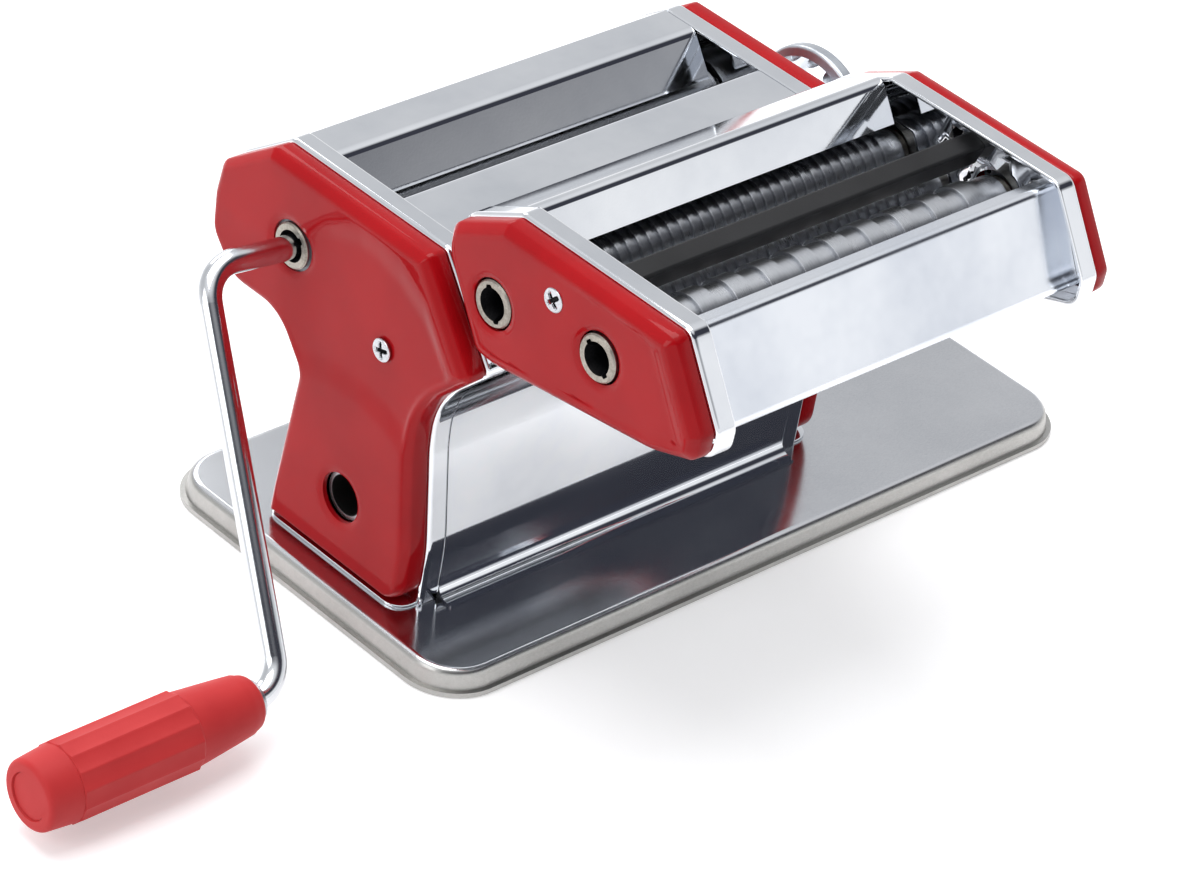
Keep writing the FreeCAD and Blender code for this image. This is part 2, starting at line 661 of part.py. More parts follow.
def sideFrame(side):
    # Chrome sheet frame with a lip turned in all round and a foot turned out.
    body = newBody(f"side_frame_{SIDE_NAMES[side]}")
    inner_x = "frame_face - frame_lip"
    pad(body, *span(side, inner_x, "frame_face"), drawOutline(frameOutline()))
    hollow(body, "x", signed(side, inner_x), "frame_sheet")
    door = oblong("frame_shin_y + frame_sheet", "frame_heel_y - 2 * frame_sheet",
                  "frame_toe_z - 1", "frame_toe_z + 2 * frame_sheet")
    plate_x = "frame_face - frame_sheet"
    pocket(body, *span(side, f"{inner_x} - 1", plate_x), drawOutline(door))
    near, far = span(side, plate_x, "frame_face + foot_reach")
    outer = "foot_corner"
    foot = [(near, "foot_front", None if side == RIGHT else outer),
            (far, "foot_front", outer if side == RIGHT else None),
            (far, "foot_back", outer if side == RIGHT else None),
            (near, "foot_back", None if side == RIGHT else outer)]
    pad(body, "frame_toe_z", "frame_toe_z + foot_sheet", drawOutline(foot), "XY_Plane")
    through = span(side, "frame_face - frame_lip - 1", "frame_face + 1")
    holes = [("drive_y", "drive_z", "journal_r + running_gap + bush_wall"),
             ("clamp_y", "clamp_z", "clamp_out_r")] + tieRodSpots("stud_r + running_gap")
    holes.append(coverScrewSpot(side, "screw_r + running_gap"))
    pocket(body, *through, drawCircles(*holes))
    boss = slot("moving_y - boss_wide / 2 - slot_gap",
                "moving_y + boss_wide / 2 + nip_travel + slot_gap",
                "drive_z", "(boss_high / 2 + running_gap)", "boss_corner")
    pocket(body, *through, drawOutline(boss))
    yoke = slot("moving_y - yoke_r - slot_gap", "moving_y + yoke_r + nip_travel + slot_gap",
                "yoke_z", "(yoke_r + slot_gap)", "yoke_r")
    pocket(body, *through, drawOutline(yoke))
    spots = drawCircles(*[spot for spot in screwSpots("base_screw_r")
                          if spot[0].startswith("-") == (side == LEFT)])
    pocket(body, "frame_toe_z - 1", "frame_toe_z + foot_sheet + 1", spots, "XY_Plane")


def coverScrewSpot(side, radius):
    if side == LEFT:
        return ("cover_screw_y", "cover_screw_z", radius)
    return ("far_screw_y", "far_screw_z", radius)


def sideCover(side):
    # Enamelled shell over the frame's outer face, bevelled all round.
    body = newBody(f"side_cover_{SIDE_NAMES[side]}")
    outer_x = "frame_face + cover_depth"
    pad(body, *span(side, "frame_face", outer_x), drawOutline(coverOutline()))
    trim(body, "Chamfer", "x", signed(side, outer_x), "cover_bevel")
    hollow(body, "x", signed(side, "frame_face"), "cover_sheet")
    through = span(side, f"{outer_x} - 2 * cover_sheet", f"{outer_x} + 1")
    holes = [("clamp_y", "clamp_z", "clamp_out_r + fit_gap"),
             coverScrewSpot(side, "screw_r + running_gap")]
    if side == LEFT:
        holes.append(("drive_y", "drive_z", "cover_hub_r"))
    else:
        holes.append(("regulator_y", "regulator_z", "index_boss_r + fit_gap"))
        holes += indexScrewSpots("index_screw_r + running_gap")
    pocket(body, *through, drawCircles(*holes))


def indexScrewSpots(radius):
    return [("regulator_y", "regulator_z + index_screw_ring", radius),
            ("regulator_y", "regulator_z - index_screw_ring", radius)]


def screwAt(side, face_x, spot, depth):
    # Low domed screw whose head stands on a cover's face.
    body = newBody("screw")
    across, height, radius = spot
    profile = [(f"-{depth}", "0", None), ("screw_head", "0", None),
               ("screw_head", "screw_head_r", "screw_head / 2"), ("0", "screw_head_r", None),
               ("0", radius, None), (f"-{depth}", radius, None)]
    if side == LEFT:
        profile = [(f"-({along})", out, bend) for along, out, bend in profile]
    turned(body, profile)
    place(body, signed(side, face_x), across, height)
    return body


def coverScrews():
    members = []
    for side in (LEFT, RIGHT):
        spot = coverScrewSpot(side, "screw_r")
        members.append(screwAt(side, "frame_face + cover_depth", spot, "screw_depth"))
    group("cover_screws", members)


# ------------------------------------------------------------- bent sheets

def between(first, second, share):
    # A place part of the way from one frame corner to the next.
    return tuple(f"frame_{first}_{axis} + ({share}) * (frame_{second}_{axis} - frame_{first}_{axis})"
                 for axis in "yz")


def sheetBetweenLips(name, corners, side, half="frame_face - frame_lip - lip_gap"):
    body = newBody(name)
    pad(body, f"-({half})", half, drawStrip(corners, "panel_sheet", side))
    return body


def frontPanel():
    # From a lap on the slope round the nose, down the waist and out as a foot.
    start = between("nose", "brow", "lap")
    foot_z = "frame_toe_z + panel_sheet"
    corners = [(*start, None)]
    corners += [corner("frame", name) for name in ("nose", "crook", "knee", "shin")]
    corners.append(("frame_toe_y", foot_z, "panel_bend"))
    corners.append(("frame_toe_y - panel_foot", foot_z, None))
    sheetBetweenLips("front_panel", corners, 1)


def topCoverFront():
    end = between("nose", "brow", "lap + lap_gap")
    top = "frame_brow_z - lip_gap"
    corners = [("inlet_front_y", "inlet_low", None), ("inlet_front_top", top, "inlet_round"),
               ("frame_brow_y", top, "sheet_bend"), (*end, None)]
    body = sheetBetweenLips("top_cover_front", corners, 1)
    notch = oblong("tongue_front - tongue_gap", "tongue_back + tongue_gap",
                   "tongue_low", "frame_brow_z")
    for side in (LEFT, RIGHT):
        edges = span(side, "cutter_face - cutter_lip - tongue_gap", "frame_face - frame_lip")
        pocket(body, *edges, drawOutline(notch))


def topCoverRear():
    top = "frame_crown_z - lip_gap"
    end = between("hip", "tuck", "rear_share")
    corners = [("inlet_back_y", "inlet_low", None), ("inlet_back_top", top, "inlet_round"),
               ("frame_crown_y", top, "sheet_bend")]
    corners += [corner("frame", name) for name in ("nape", "back", "hip")]
    corners.append((*end, None))
    sheetBetweenLips("top_cover_rear", corners, -1)


def rearPanel():
    start = between("waist", "heel", "waist_share")
    foot_z = "frame_toe_z + panel_sheet"
    corners = [(*start, None), ("frame_heel_y", foot_z, "panel_bend"),
               ("frame_heel_y + rear_foot", foot_z, None)]
    sheetBetweenLips("rear_panel", corners, -1)


def chutePlate():
    corners = [("chute_front_y", "chute_front_z", None), ("chute_back_y", "chute_back_z", None)]
    sheetBetweenLips("chute_plate", corners, -1, "frame_face - frame_sheet")


# ----------------------------------------------------- rods, nuts, clamp tubes

def steps(*stations):
    # Corners of a turned profile from pairs of a place along X and a radius,
    # with both ends closed down to the axis.
    corners = [(stations[0][0], "0", None)]
    corners += [(along, radius, None) for along, radius in stations]
    corners.append((stations[-1][0], "0", None))
    return corners


def tieRods():
    members = []
    for across, height, radius in tieRodSpots("rod_r"):
        body = newBody("tie_rod")
        shoulder = "(frame_face - frame_sheet)"
        end = "(frame_face + nut_thick + part_gap)"
        turned(body, steps((f"-{end}", "stud_r"), (f"-{shoulder}", "stud_r"), (f"-{shoulder}", radius),
                           (shoulder, radius), (shoulder, "stud_r"), (end, "stud_r")))
        place(body, "0", across, height)
        members.append(body)
    group("tie_rods", members)


def tieRodNuts():
    members = []
    hexagon = [(f"nut_r * cos({turn * 60})", f"nut_r * sin({turn * 60})", None) for turn in range(6)]
    for across, height, radius in tieRodSpots("stud_r"):
        for side in (LEFT, RIGHT):
            body = newBody("tie_rod_nut")
            limits = span(side, "frame_face", "frame_face + nut_thick")
            pad(body, *limits, drawOutline(hexagon))
            pocket(body, *limits, drawCircles(("0", "0", radius)))
            place(body, "0", across, height)
            members.append(body)
    group("tie_rod_nuts", members)


def clampSocket(side):
    # Tube through frame and cover that takes the hook of a table clamp.
    body = newBody(f"clamp_socket_{SIDE_NAMES[side]}")
    limits = span(side, "clamp_inner", "frame_face + cover_depth - clamp_recess")
    pad(body, *limits, drawCircles(("0", "0", "clamp_out_r")))
    pocket(body, *limits, drawCircles(("0", "0", "clamp_bore_r")))
    place(body, "0", "clamp_y", "clamp_z")


# ------------------------------------------------------------------ rollers

def crankSocket(body, end):
    # Bore for the crank rod with two notches for its cross pin, from the left.
    start = f"-({end})"
    pocket(body, start, f"{start} + socket_depth", drawCircles(("0", "0", "socket_r")))
    slots = oblong("-notch_r", "notch_r", "-notch_wide / 2", "notch_wide / 2")
    pocket(body, start, f"{start} + notch_depth", drawOutline(slots))


def driveRoller():
    body = newBody("drive_roller")
    turned(body, steps(("-journal_end", "journal_r"), ("-roller_half", "journal_r"),
                       ("-roller_half", "roller_r"), ("roller_half", "roller_r"),
                       ("roller_half", "journal_r"), ("journal_far_end", "journal_r")))
    crankSocket(body, "journal_end")
    place(body, "0", "drive_y", "drive_z", "-crank_angle")


def movingRoller():
    body = newBody("moving_roller")
    end = "gear_start + gear_wide + part_gap / 2"
    turned(body, steps((f"-({end})", "moving_journal_r"), ("-roller_half", "moving_journal_r"),
                       ("-roller_half", "roller_r"), ("roller_half", "roller_r"),
                       ("roller_half", "moving_journal_r"),
                       ("block_start + block_sheet", "moving_journal_r")))
    place(body, "0", "moving_y", "drive_z")


def bush(side, face, sheet_name, bore, wall, flange, flange_sheet, across, height):
    # Plain bearing pushed through a side frame, its flange on the outside.
    body = newBody("bush")
    inner = f"({face}) - {sheet_name} - 2 * part_gap"
    outer = f"({bore}) + {wall}"
    limits = span(side, inner, f"({face}) + {flange_sheet}")
    pad(body, *limits, drawCircles(("0", "0", outer)))
    pad(body, *span(side, face, f"({face}) + {flange_sheet}"), drawCircles(("0", "0", flange)))
    pocket(body, *limits, drawCircles(("0", "0", bore)))
    place(body, "0", across, height)
    return body


def driveBushes():
    members = [bush(side, "frame_face", "frame_sheet", "journal_r + running_gap", "bush_wall",
                    "bush_flange", "bush_flange_sheet", "drive_y", "drive_z")
               for side in (LEFT, RIGHT)]
    group("drive_bushes", members)


def gear(name, limits, bore, teeth, root, tip, foot, crest, across, height, angle):
    # Straight toothed wheel: a hub disc and one tooth repeated round it.
    body = newBody(name)
    pad(body, *limits, drawCircles(("0", "0", root)))
    tooth = sharp((f"{root} / 2", f"-{foot} / 2"), (root, f"-{foot} / 2"), (tip, f"-{crest} / 2"),
                  (tip, f"{crest} / 2"), (root, f"{foot} / 2"), (f"{root} / 2", f"{foot} / 2"))
    first = pad(body, *limits, drawOutline(tooth))
    repeatRound(body, first, teeth)
    pocket(body, *limits, drawCircles(("0", "0", bore)))
    place(body, "0", across, height, angle)


def mainGears():
    # One wheel has a tooth and the other a gap on the line between the axes.
    limits = span(LEFT, "gear_start", "gear_start + gear_wide")
    shape = ("gear_teeth", "gear_root", "gear_tip", "tooth_foot", "tooth_tip")
    gear("drive_gear", limits, "journal_r", *shape, "drive_y", "drive_z", "180")
    gear("mate_gear", limits, "moving_journal_r", *shape, "moving_y", "drive_z", "180 / gear_teeth")


def bearingBlock(side):
    # Plate that carries one end of the moving roller and slides on the frame.
    body = newBody(f"bearing_block_{SIDE_NAMES[side]}")
    plate = oblong("block_front", "block_back", "block_low", "block_high", "boss_corner")
    outer = "(block_start + block_sheet)"
    pad(body, *span(side, "block_start", outer), drawOutline(plate))
    centre = "moving_y"
    boss = slot(f"{centre} - boss_wide / 2", f"{centre} + boss_wide / 2", "drive_z",
                "(boss_high / 2)", "boss_corner")
    inner = "frame_face - frame_sheet - 2 * part_gap"
    pad(body, *span(side, inner, "block_start"), drawOutline(boss))
    if side == RIGHT:
        middle = "regulator_y - nip_travel / 2"
        reach = "(cam_r + cam_gap)"
        walls = ((f"{middle} - {reach} - window_wall", f"{middle} - {reach}"),
                 (f"{middle} + {reach}", f"{middle} + {reach} + window_wall"))
        for low, high in walls:
            wall = oblong(low, high, "regulator_z - window_half", "regulator_z + window_half")
            pad(body, outer, f"{outer} + window_depth", drawOutline(wall))
    through = span(side, f"{inner} - 1", f"{outer} + 1")
    bores = drawCircles((centre, "drive_z", "moving_journal_r + running_gap"),
                        (centre, "yoke_z", "yoke_r"))
    pocket(body, *through, bores)


def yokeBar():
    body = newBody("yoke_bar")
    end = "(block_start + block_sheet)"
    pad(body, f"-{end}", end, drawCircles(("moving_y", "yoke_z", "yoke_r")))


def scraperRear():
    # Wiper bar behind the fixed roller, its edge just off the roller.
    body = newBody("scraper_rear")
    back = "scraper_bar_y + scraper_bar_wide"
    corners = sharp(("scraper_tip_y", "scraper_tip_z"), ("scraper_bar_y", "scraper_bar_z"),
                    (back, "scraper_bar_z"), (back, "scraper_bar_z + scraper_bar_high"),
                    ("scraper_bar_y + scraper_blade", "scraper_bar_z + scraper_bar_high"))
    pad(body, "-(frame_face - frame_sheet)", "frame_face - frame_sheet", drawOutline(corners))


def scraperFront():
    # Wiper on the yoke bar, so that it follows the moving roller.
    body = newBody("scraper_front")
    half = "roller_half - scraper_side_gap"
    pad(body, f"-({half})", half, drawCircles(("moving_y", "yoke_z", "scraper_hub_r")))
    rim = "(yoke_r + scraper_hub_r) / 2"
    root = [(f"moving_y + {rim} * cos({angle})", f"yoke_z + {rim} * sin({angle})")
            for angle in ("blade_low_angle", "blade_high_angle")]
    pad(body, f"-({half})", half, drawOutline(sharp(("front_tip_y", "front_tip_z"), *root)))
    pocket(body, f"-({half})", half, drawCircles(("moving_y", "yoke_z", "yoke_r")))


# ---------------------------------------------------------------- regulator

def regulatorShaft():
    # Eccentric cam, round spindle and square end, turned by the knob.
    body = newBody("regulator_shaft")
    cam_start = "block_start + block_sheet + part_gap"
    cam_end = f"{cam_start} + cam_wide"
    pad(body, cam_start, cam_end, drawCircles(("-nip_travel / 2", "0", "cam_r")))
    pad(body, cam_end, squareStart(), drawCircles(("0", "0", "spindle_r")))
    square = oblong("-square_wide / 2", "square_wide / 2", "-square_wide / 2", "square_wide / 2")
    pad(body, squareStart(), "square_end", drawOutline(square))
    bore = drawCircles(("0", "0", "knob_screw_r"))
    pocket(body, "square_end - knob_screw_length", "square_end", bore)
    place(body, "0", "regulator_y", "regulator_z")


def coverFace():
    return "(frame_face + cover_depth)"


def squareStart():
    return f"{coverFace()} + index_sheet + fit_gap"


def indexPlate():
    # Round plate on the cover with the spindle's bearing and the pin's groove.
    body = newBody("index_plate")
    outer = f"{coverFace()} + index_sheet"
    pad(body, coverFace(), outer, drawCircles(("0", "0", "index_r")))
    pad(body, f"{coverFace()} - index_boss", coverFace(), drawCircles(("0", "0", "index_boss_r")))
    bearing = drawCircles(("0", "0", "spindle_r + running_gap"))
    pocket(body, f"{coverFace()} - index_boss", outer, bearing)
    track = drawCircles(("0", "0", "groove_r - groove_half"), ("0", "0", "groove_r + groove_half"))
    pocket(body, f"{outer} - groove_depth", outer, track)
    spots = [("0", "index_screw_ring"), ("0", "-index_screw_ring")]
    pocket(body, coverFace(), outer, drawCircles(*[(*spot, "index_screw_r") for spot in spots]))
    heads = drawCircles(*[(*spot, "index_screw_head_r") for spot in spots])
    pocket(body, f"{outer} - index_screw_head", outer, heads)
    place(body, "0", "regulator_y", "regulator_z")


def indexScrews():
    members = []
    outer = f"{coverFace()} + index_sheet"
    for across, height, radius in indexScrewSpots("index_screw_r"):
        body = newBody("index_screw")
        neck = f"{outer} - index_screw_head"
        pad(body, neck, outer, drawCircles(("0", "0", "index_screw_head_r")))
        pad(body, f"{outer} - index_screw_length", neck, drawCircles(("0", "0", radius)))
        place(body, "0", across, height)
        members.append(body)
    group("index_screws", members)


def knob():
    body = newBody("knob")
    back = f"{coverFace()} + index_sheet + knob_gap"
    profile = [(back, "0", None), (back, "knob_back_r", "knob_rim_round"),
               ("knob_cone_end", "knob_cone_r", None),
               ("knob_cone_end + knob_step", "knob_rim_r", "knob_rim_round"),
               ("knob_face", "knob_rim_r", "knob_rim_round"),
               ("knob_face", "knob_well_r", None), ("knob_well_floor", "knob_well_r", None),
               ("knob_well_floor", "0", None)]
    turned(body, profile)
    hole = "(square_wide / 2 + running_gap)"
    pocket(body, back, "knob_well_floor", drawOutline(oblong(f"-{hole}", hole, f"-{hole}", hole)))
    pocket(body, back, "knob_well_floor - 1", drawCircles(("0", "groove_r", "pin_r")))
    flute = drawCircles(("knob_cone_r + flute_rise", "0", "flute_r"))
    scoop = pocket(body, back, "knob_cone_end", flute)
    repeatRound(body, scoop, "knob_flutes")
    place(body, "0", "regulator_y", "regulator_z")


def knobFittings():
    cap = newBody("knob_cap")
    pad(cap, "knob_face - cap_sheet", "knob_face", drawCircles(("0", "0", "knob_well_r")))
    place(cap, "0", "regulator_y", "regulator_z")
    pin = newBody("index_pin")
    tip = f"{coverFace()} + index_sheet - groove_depth + 2 * fit_gap"
    pad(pin, tip, "knob_well_floor - 1", drawCircles(("0", "groove_r", "pin_r")))
    place(pin, "0", "regulator_y", "regulator_z")
    screw = newBody("knob_screw")
    seat = "square_end"
    pad(screw, seat, f"{seat} + knob_screw_head", drawCircles(("0", "0", "knob_screw_head_r")))
    pad(screw, f"{seat} - knob_screw_length", seat, drawCircles(("0", "0", "knob_screw_r")))
    place(screw, "0", "regulator_y", "regulator_z")
    spring = newBody("knob_spring")
    wire = "spring_wire / 2"
    coil = spring.newObject("PartDesign::AdditiveHelix", "coil")
    start = f"knob_well_floor + {wire}"
    coil.Profile = sketchOn(spring, "XZ_Plane", "0",
                            lambda sketch: circle(sketch, start, "spring_r", wire))
    coil.ReferenceAxis = (origin(spring, "X_Axis"), [""])
    coil.Mode = 0
    bind(coil, "Pitch", "spring_pitch")
    bind(coil, "Height", "square_end - knob_well_floor - spring_wire")
    document.recompute()
    place(spring, "0", "regulator_y", "regulator_z")


# -------------------------------------------------------------------- crank

def openPath(sketch, corners):
    # Straight runs joined by tangent arcs, for a bent rod's centre line.
    points = [Vector(size(across), size(height), 0) for across, height, radius in corners]
    starts, ends = cornerEnds(points, corners, False)
    rules = Constraints(sketch)
    runs = []
    for index in range(len(points) - 1):
        runs.append(sketch.addGeometry(Part.LineSegment(ends[index], starts[index + 1])))
    rules.place(runs[0], 1, corners[0][0], corners[0][1], points[0])
    rules.place(runs[-1], 2, corners[-1][0], corners[-1][1], points[-1])
    for index in range(1, len(points) - 1):
        around = points[index - 1:index + 2]
        roundCorner(sketch, rules, corners[index], around, runs[index - 1], runs[index])
    rules.apply()


def placeOnCrank(body):
    # The crank's own -Z points down its arm, turned about the drive axis.
    place(body, "0", "drive_y", "drive_z", "-crank_angle")


def crankRod():
    body = newBody("crank_rod")
    path = [("-crank_tip", "0", None), ("-crank_straight", "0", "crank_ease_r"),
            ("-crank_corner_x", "crank_corner_rise", "crank_corner_r"),
            ("-crank_low_x", "-grip_drop", "crank_low_r"), ("-rod_end_x", "-grip_drop", None)]
    pipe = body.newObject("PartDesign::AdditivePipe", "rod")
    spine = sketchOn(body, "XZ_Plane", "0", lambda sketch: openPath(sketch, path))
    pipe.Profile = sketchOn(body, "YZ_Plane", "-crank_tip", drawCircles(("0", "0", "crank_rod_r")))
    pipe.Spine = (spine, [])
    document.recompute()
    head = drawCircles(("0", "-grip_drop", "rivet_r"))
    pad(body, "-(rod_end_x + rivet_thick)", "-rod_end_x", head)
    pin_hole = drawCircles(("-crank_pin_x", "0", "crank_pin_r"))
    pocket(body, "-2 * crank_rod_r", "2 * crank_rod_r", pin_hole, "XZ_Plane")
    placeOnCrank(body)
    pin = newBody("crank_pin")
    pad(pin, "-crank_pin_half", "crank_pin_half", pin_hole, "XZ_Plane")
    placeOnCrank(pin)


def placeOnGrip(body):
    place(body, "0", "drive_y - grip_drop * sin(crank_angle)",
          "drive_z - grip_drop * cos(crank_angle)", "-crank_angle")


def grip():
    body = newBody("grip")
    bore = "crank_rod_r + grip_bore_gap"
    well = "rod_end_x - part_gap"
    profile = [("-grip_start", bore, None), ("-grip_start", "grip_neck_r", "grip_round"),
               ("-(grip_start + grip_shoulder)", "grip_cone_r", None),
               ("-(grip_start + grip_shoulder)", "grip_r", None),
               ("-(grip_end - grip_collar)", "grip_r", None),
               ("-(grip_end - grip_collar)", "grip_collar_r", None),
               ("-grip_end", "grip_collar_r", "grip_round"), ("-grip_end", "grip_cap_r", None),
               (f"-({well})", "grip_cap_r", None), (f"-({well})", bore, None)]
    turned(body, profile)
    flute = drawCircles(("grip_r + grip_flute_r - grip_flute_depth", "0", "grip_flute_r"))
    scoop = pocket(body, "-(grip_end - grip_collar)", "-(grip_start + grip_shoulder)", flute)
    repeatRound(body, scoop, "grip_flutes")
    placeOnGrip(body)
    cap = newBody("grip_cap")
    pad(cap, "-(grip_end - grip_cap_inset)", "-(grip_end - grip_cap_inset - grip_cap_thick)",
        drawCircles(("0", "0", "grip_cap_r")))
    placeOnGrip(cap)
    washer = newBody("grip_washer")
    limits = ("-(grip_start - fit_gap)", "-(grip_start - fit_gap - washer_thick)")
    pad(washer, *limits, drawCircles(("0", "0", "washer_r")))
    pocket(washer, *limits, drawCircles(("0", "0", "crank_rod_r")))
    placeOnGrip(washer)


# ---------------------------------------------------------- cutter attachment

def cutterAxis(which, role):
    # Centre of a driven cutter roller or of its mate below and in front of it.
    if role == "drive":
        return f"{which}_y", f"{which}_z"
    return (f"{which}_y - cutter_axes * cos({which}_fall)",
            f"{which}_z - cutter_axes * sin({which}_fall)")


def cutterSpots(driven_radius, mate_radius):
    spots = []
    for which in ("narrow", "wide"):
        spots.append((*cutterAxis(which, "drive"), driven_radius))
        spots.append((*cutterAxis(which, "mate"), mate_radius))
    return spots


def cutterRodSpots(radius):
    return [(f"cutter_rod_{name}_y", f"cutter_rod_{name}_z", radius) for name in ("one", "two")]


def cutterFrame(side):
    # Sheet frame with a lip turned in and a hooked tongue behind.
    body = newBody(f"cutter_frame_{SIDE_NAMES[side]}")
    inner = "(cutter_face - cutter_lip)"
    plate = "(cutter_face - cutter_sheet)"
    pad(body, *span(side, inner, "cutter_face"), drawOutline(outlineOf("cutter", cutter_corners)))
    hollow(body, "x", signed(side, inner), "cutter_sheet")
    mouth = sharp(("mouth_front", "cutter_root_z - 1"), ("mouth_back", "cutter_root_z - 1"),
                  ("mouth_back", "cutter_chin_z"), ("mouth_front", "cutter_chin_z"))
    pocket(body, *span(side, f"{inner} - 1", plate), drawOutline(mouth))
    tongue = oblong("tongue_front", "tongue_back", "tongue_low", "tongue_high")
    pad(body, *span(side, inner, f"{inner} + cutter_sheet"), drawOutline(tongue))
    driven = "cutter_far_r + running_gap + mate_bush_wall"
    if side == LEFT:
        driven = "journal_r + running_gap + bush_wall"
    spots = cutterSpots(driven, "cutter_far_r + running_gap + mate_bush_wall")
    spots += cutterRodSpots("cutter_rivet_r")
    spots.append(("cutter_screw_y", "cutter_screw_z", "screw_r + running_gap"))
    pocket(body, *span(side, f"{plate} - 1", "cutter_face + 1"), drawCircles(*spots))


def cutterCover(side):
    body = newBody(f"cutter_cover_{SIDE_NAMES[side]}")
    outer = "cutter_face + cutter_cover_depth"
    pad(body, *span(side, "cutter_face", outer), drawOutline(outlineOf("cutter", cutter_corners)))
    trim(body, "Chamfer", "x", signed(side, outer), "cover_bevel")
    hollow(body, "x", signed(side, "cutter_face"), "cover_sheet")
    holes = [("cutter_screw_y", "cutter_screw_z", "screw_r + running_gap")]
    if side == LEFT:
        holes += [("narrow_y", "narrow_z", "cover_hub_r"), ("wide_y", "wide_z", "cover_hub_r")]
    pocket(body, *span(side, f"{outer} - 2 * cover_sheet", f"{outer} + 1"), drawCircles(*holes))


def cutterCoverScrews():
    members = []
    for side in (LEFT, RIGHT):
        spot = ("cutter_screw_y", "cutter_screw_z", "screw_r")
        members.append(screwAt(side, "cutter_face + cutter_cover_depth", spot, "cutter_screw_depth"))
    group("cutter_cover_screws", members)


def cutterPanels():
    # Mirror sheet in front with rolled edges, and the wrap behind the inlet.
    front = [("front_top_y + front_return", "front_top_z - front_tuck", None),
             ("front_top_y", "front_top_z", "front_roll"),
             ("front_low_y", "front_low_z", "front_roll"),
             ("front_low_y + front_return - 1", "front_low_z - front_tuck", None)]
    sheetBetweenLips("cutter_front_panel", front, 1, "cutter_face - cutter_sheet - fit_gap")
    rear = [("rear_low_y", "rear_low_z", None),
            ("cutter_back_y - lip_gap", "cutter_back_z", "cutter_back_r - lip_gap"),
            ("cutter_nape_y - lip_gap", "cutter_nape_z", "cutter_nape_r - lip_gap"),
            ("inlet_lip_y", "inlet_lip_z", "inlet_round - 1"),
            ("inlet_throat_y", "inlet_throat_z", None)]
    sheetBetweenLips("cutter_rear_panel", rear, 1, "cutter_face - cutter_lip - lip_gap")


def cutterMidGuide():
    # Moulded wedge between the two inlets.
    body = newBody("cutter_mid_guide")
    half = "cutter_face - cutter_sheet - fit_gap"
    corners = [("guide_back_y", "guide_back_z", "guide_round"),
               ("guide_top_y", "guide_top_z", "guide_round"),
               ("guide_front_y", "guide_front_z", "guide_round"),
               ("guide_low_y", "guide_low_z", "guide_round"),
               ("guide_foot_y", "guide_foot_z", "guide_round")]
    pad(body, f"-({half})", half, drawOutline(corners))


def cutterTieRods():
    members = []
    shoulder = "(cutter_face - cutter_sheet)"
    end = "(cutter_face + cutter_rivet_thick)"
    for across, height, radius in cutterRodSpots("cutter_rod_r"):
        body = newBody("cutter_tie_rod")
        turned(body, steps((f"-{end}", radius), ("-cutter_face", radius), ("-cutter_face", "cutter_rivet_r"),
                           (f"-{shoulder}", "cutter_rivet_r"), (f"-{shoulder}", radius), (shoulder, radius),
                           (shoulder, "cutter_rivet_r"), ("cutter_face", "cutter_rivet_r"),
                           ("cutter_face", radius), (end, radius)))
        place(body, "0", across, height)
        members.append(body)
    group("cutter_tie_rods", members)


def cutterBushes():
    members = []
    small = ("cutter_far_r + running_gap", "mate_bush_wall")
    large = ("journal_r + running_gap", "bush_wall")
    for which in ("narrow", "wide"):
        for role in ("drive", "mate"):
            for side in (LEFT, RIGHT):
                bore, wall = large if role == "drive" and side == LEFT else small
                flange = f"{bore} + {wall} + cutter_flange"
                members.append(bush(side, "cutter_face", "cutter_sheet", bore, wall, flange,
                                    "cutter_flange_sheet", *cutterAxis(which, role)))
    group("cutter_bushes", members)


def cutterRoller(which, role):
    # Slotted roller: a plain core with a row of discs that run in the gaps of
    # the mating roller.
    body = newBody(f"{which}_{role}_roller")
    disc = f"{which}_disc"
    pitch = f"{which}_pitch"
    count = f"{which}_count"
    start = f"-(({count} - 1) * {pitch} + {disc}) / 2"
    if role == "drive":
        left_end, left_r = "cutter_journal_end", "journal_r"
    else:
        left_end, left_r = "cutter_mate_end", "cutter_far_r"
        start = f"{start} + {pitch} / 2"
        count = f"{count} - 1"
    turned(body, steps((f"-{left_end}", left_r), ("-cutter_body_half", left_r),
                       ("-cutter_body_half", "cutter_root"), ("cutter_body_half", "cutter_root"),
                       ("cutter_body_half", "cutter_far_r"), ("cutter_far_end", "cutter_far_r")))
    first = pad(body, start, f"{start} + {disc}", drawCircles(("0", "0", "cutter_tip")))
    repeatLine(body, first, pitch, count)
    if role == "drive":
        crankSocket(body, "cutter_journal_end")
    place(body, "0", *cutterAxis(which, role), f"{which}_notch" if role == "drive" else None)


def cutterGears(which):
    limits = ("cutter_gear_start", "cutter_gear_start + cutter_gear_wide")
    shape = ("cutter_teeth", "cutter_gear_root", "cutter_gear_tip",
             "cutter_tooth_foot", "cutter_tooth_tip")
    lean = f"180 + {which}_fall"
    gear(f"{which}_drive_gear", limits, "cutter_far_r", *shape, *cutterAxis(which, "drive"), lean)
    gear(f"{which}_mate_gear", limits, "cutter_far_r", *shape, *cutterAxis(which, "mate"),
         f"{which}_fall + 180 / cutter_teeth")


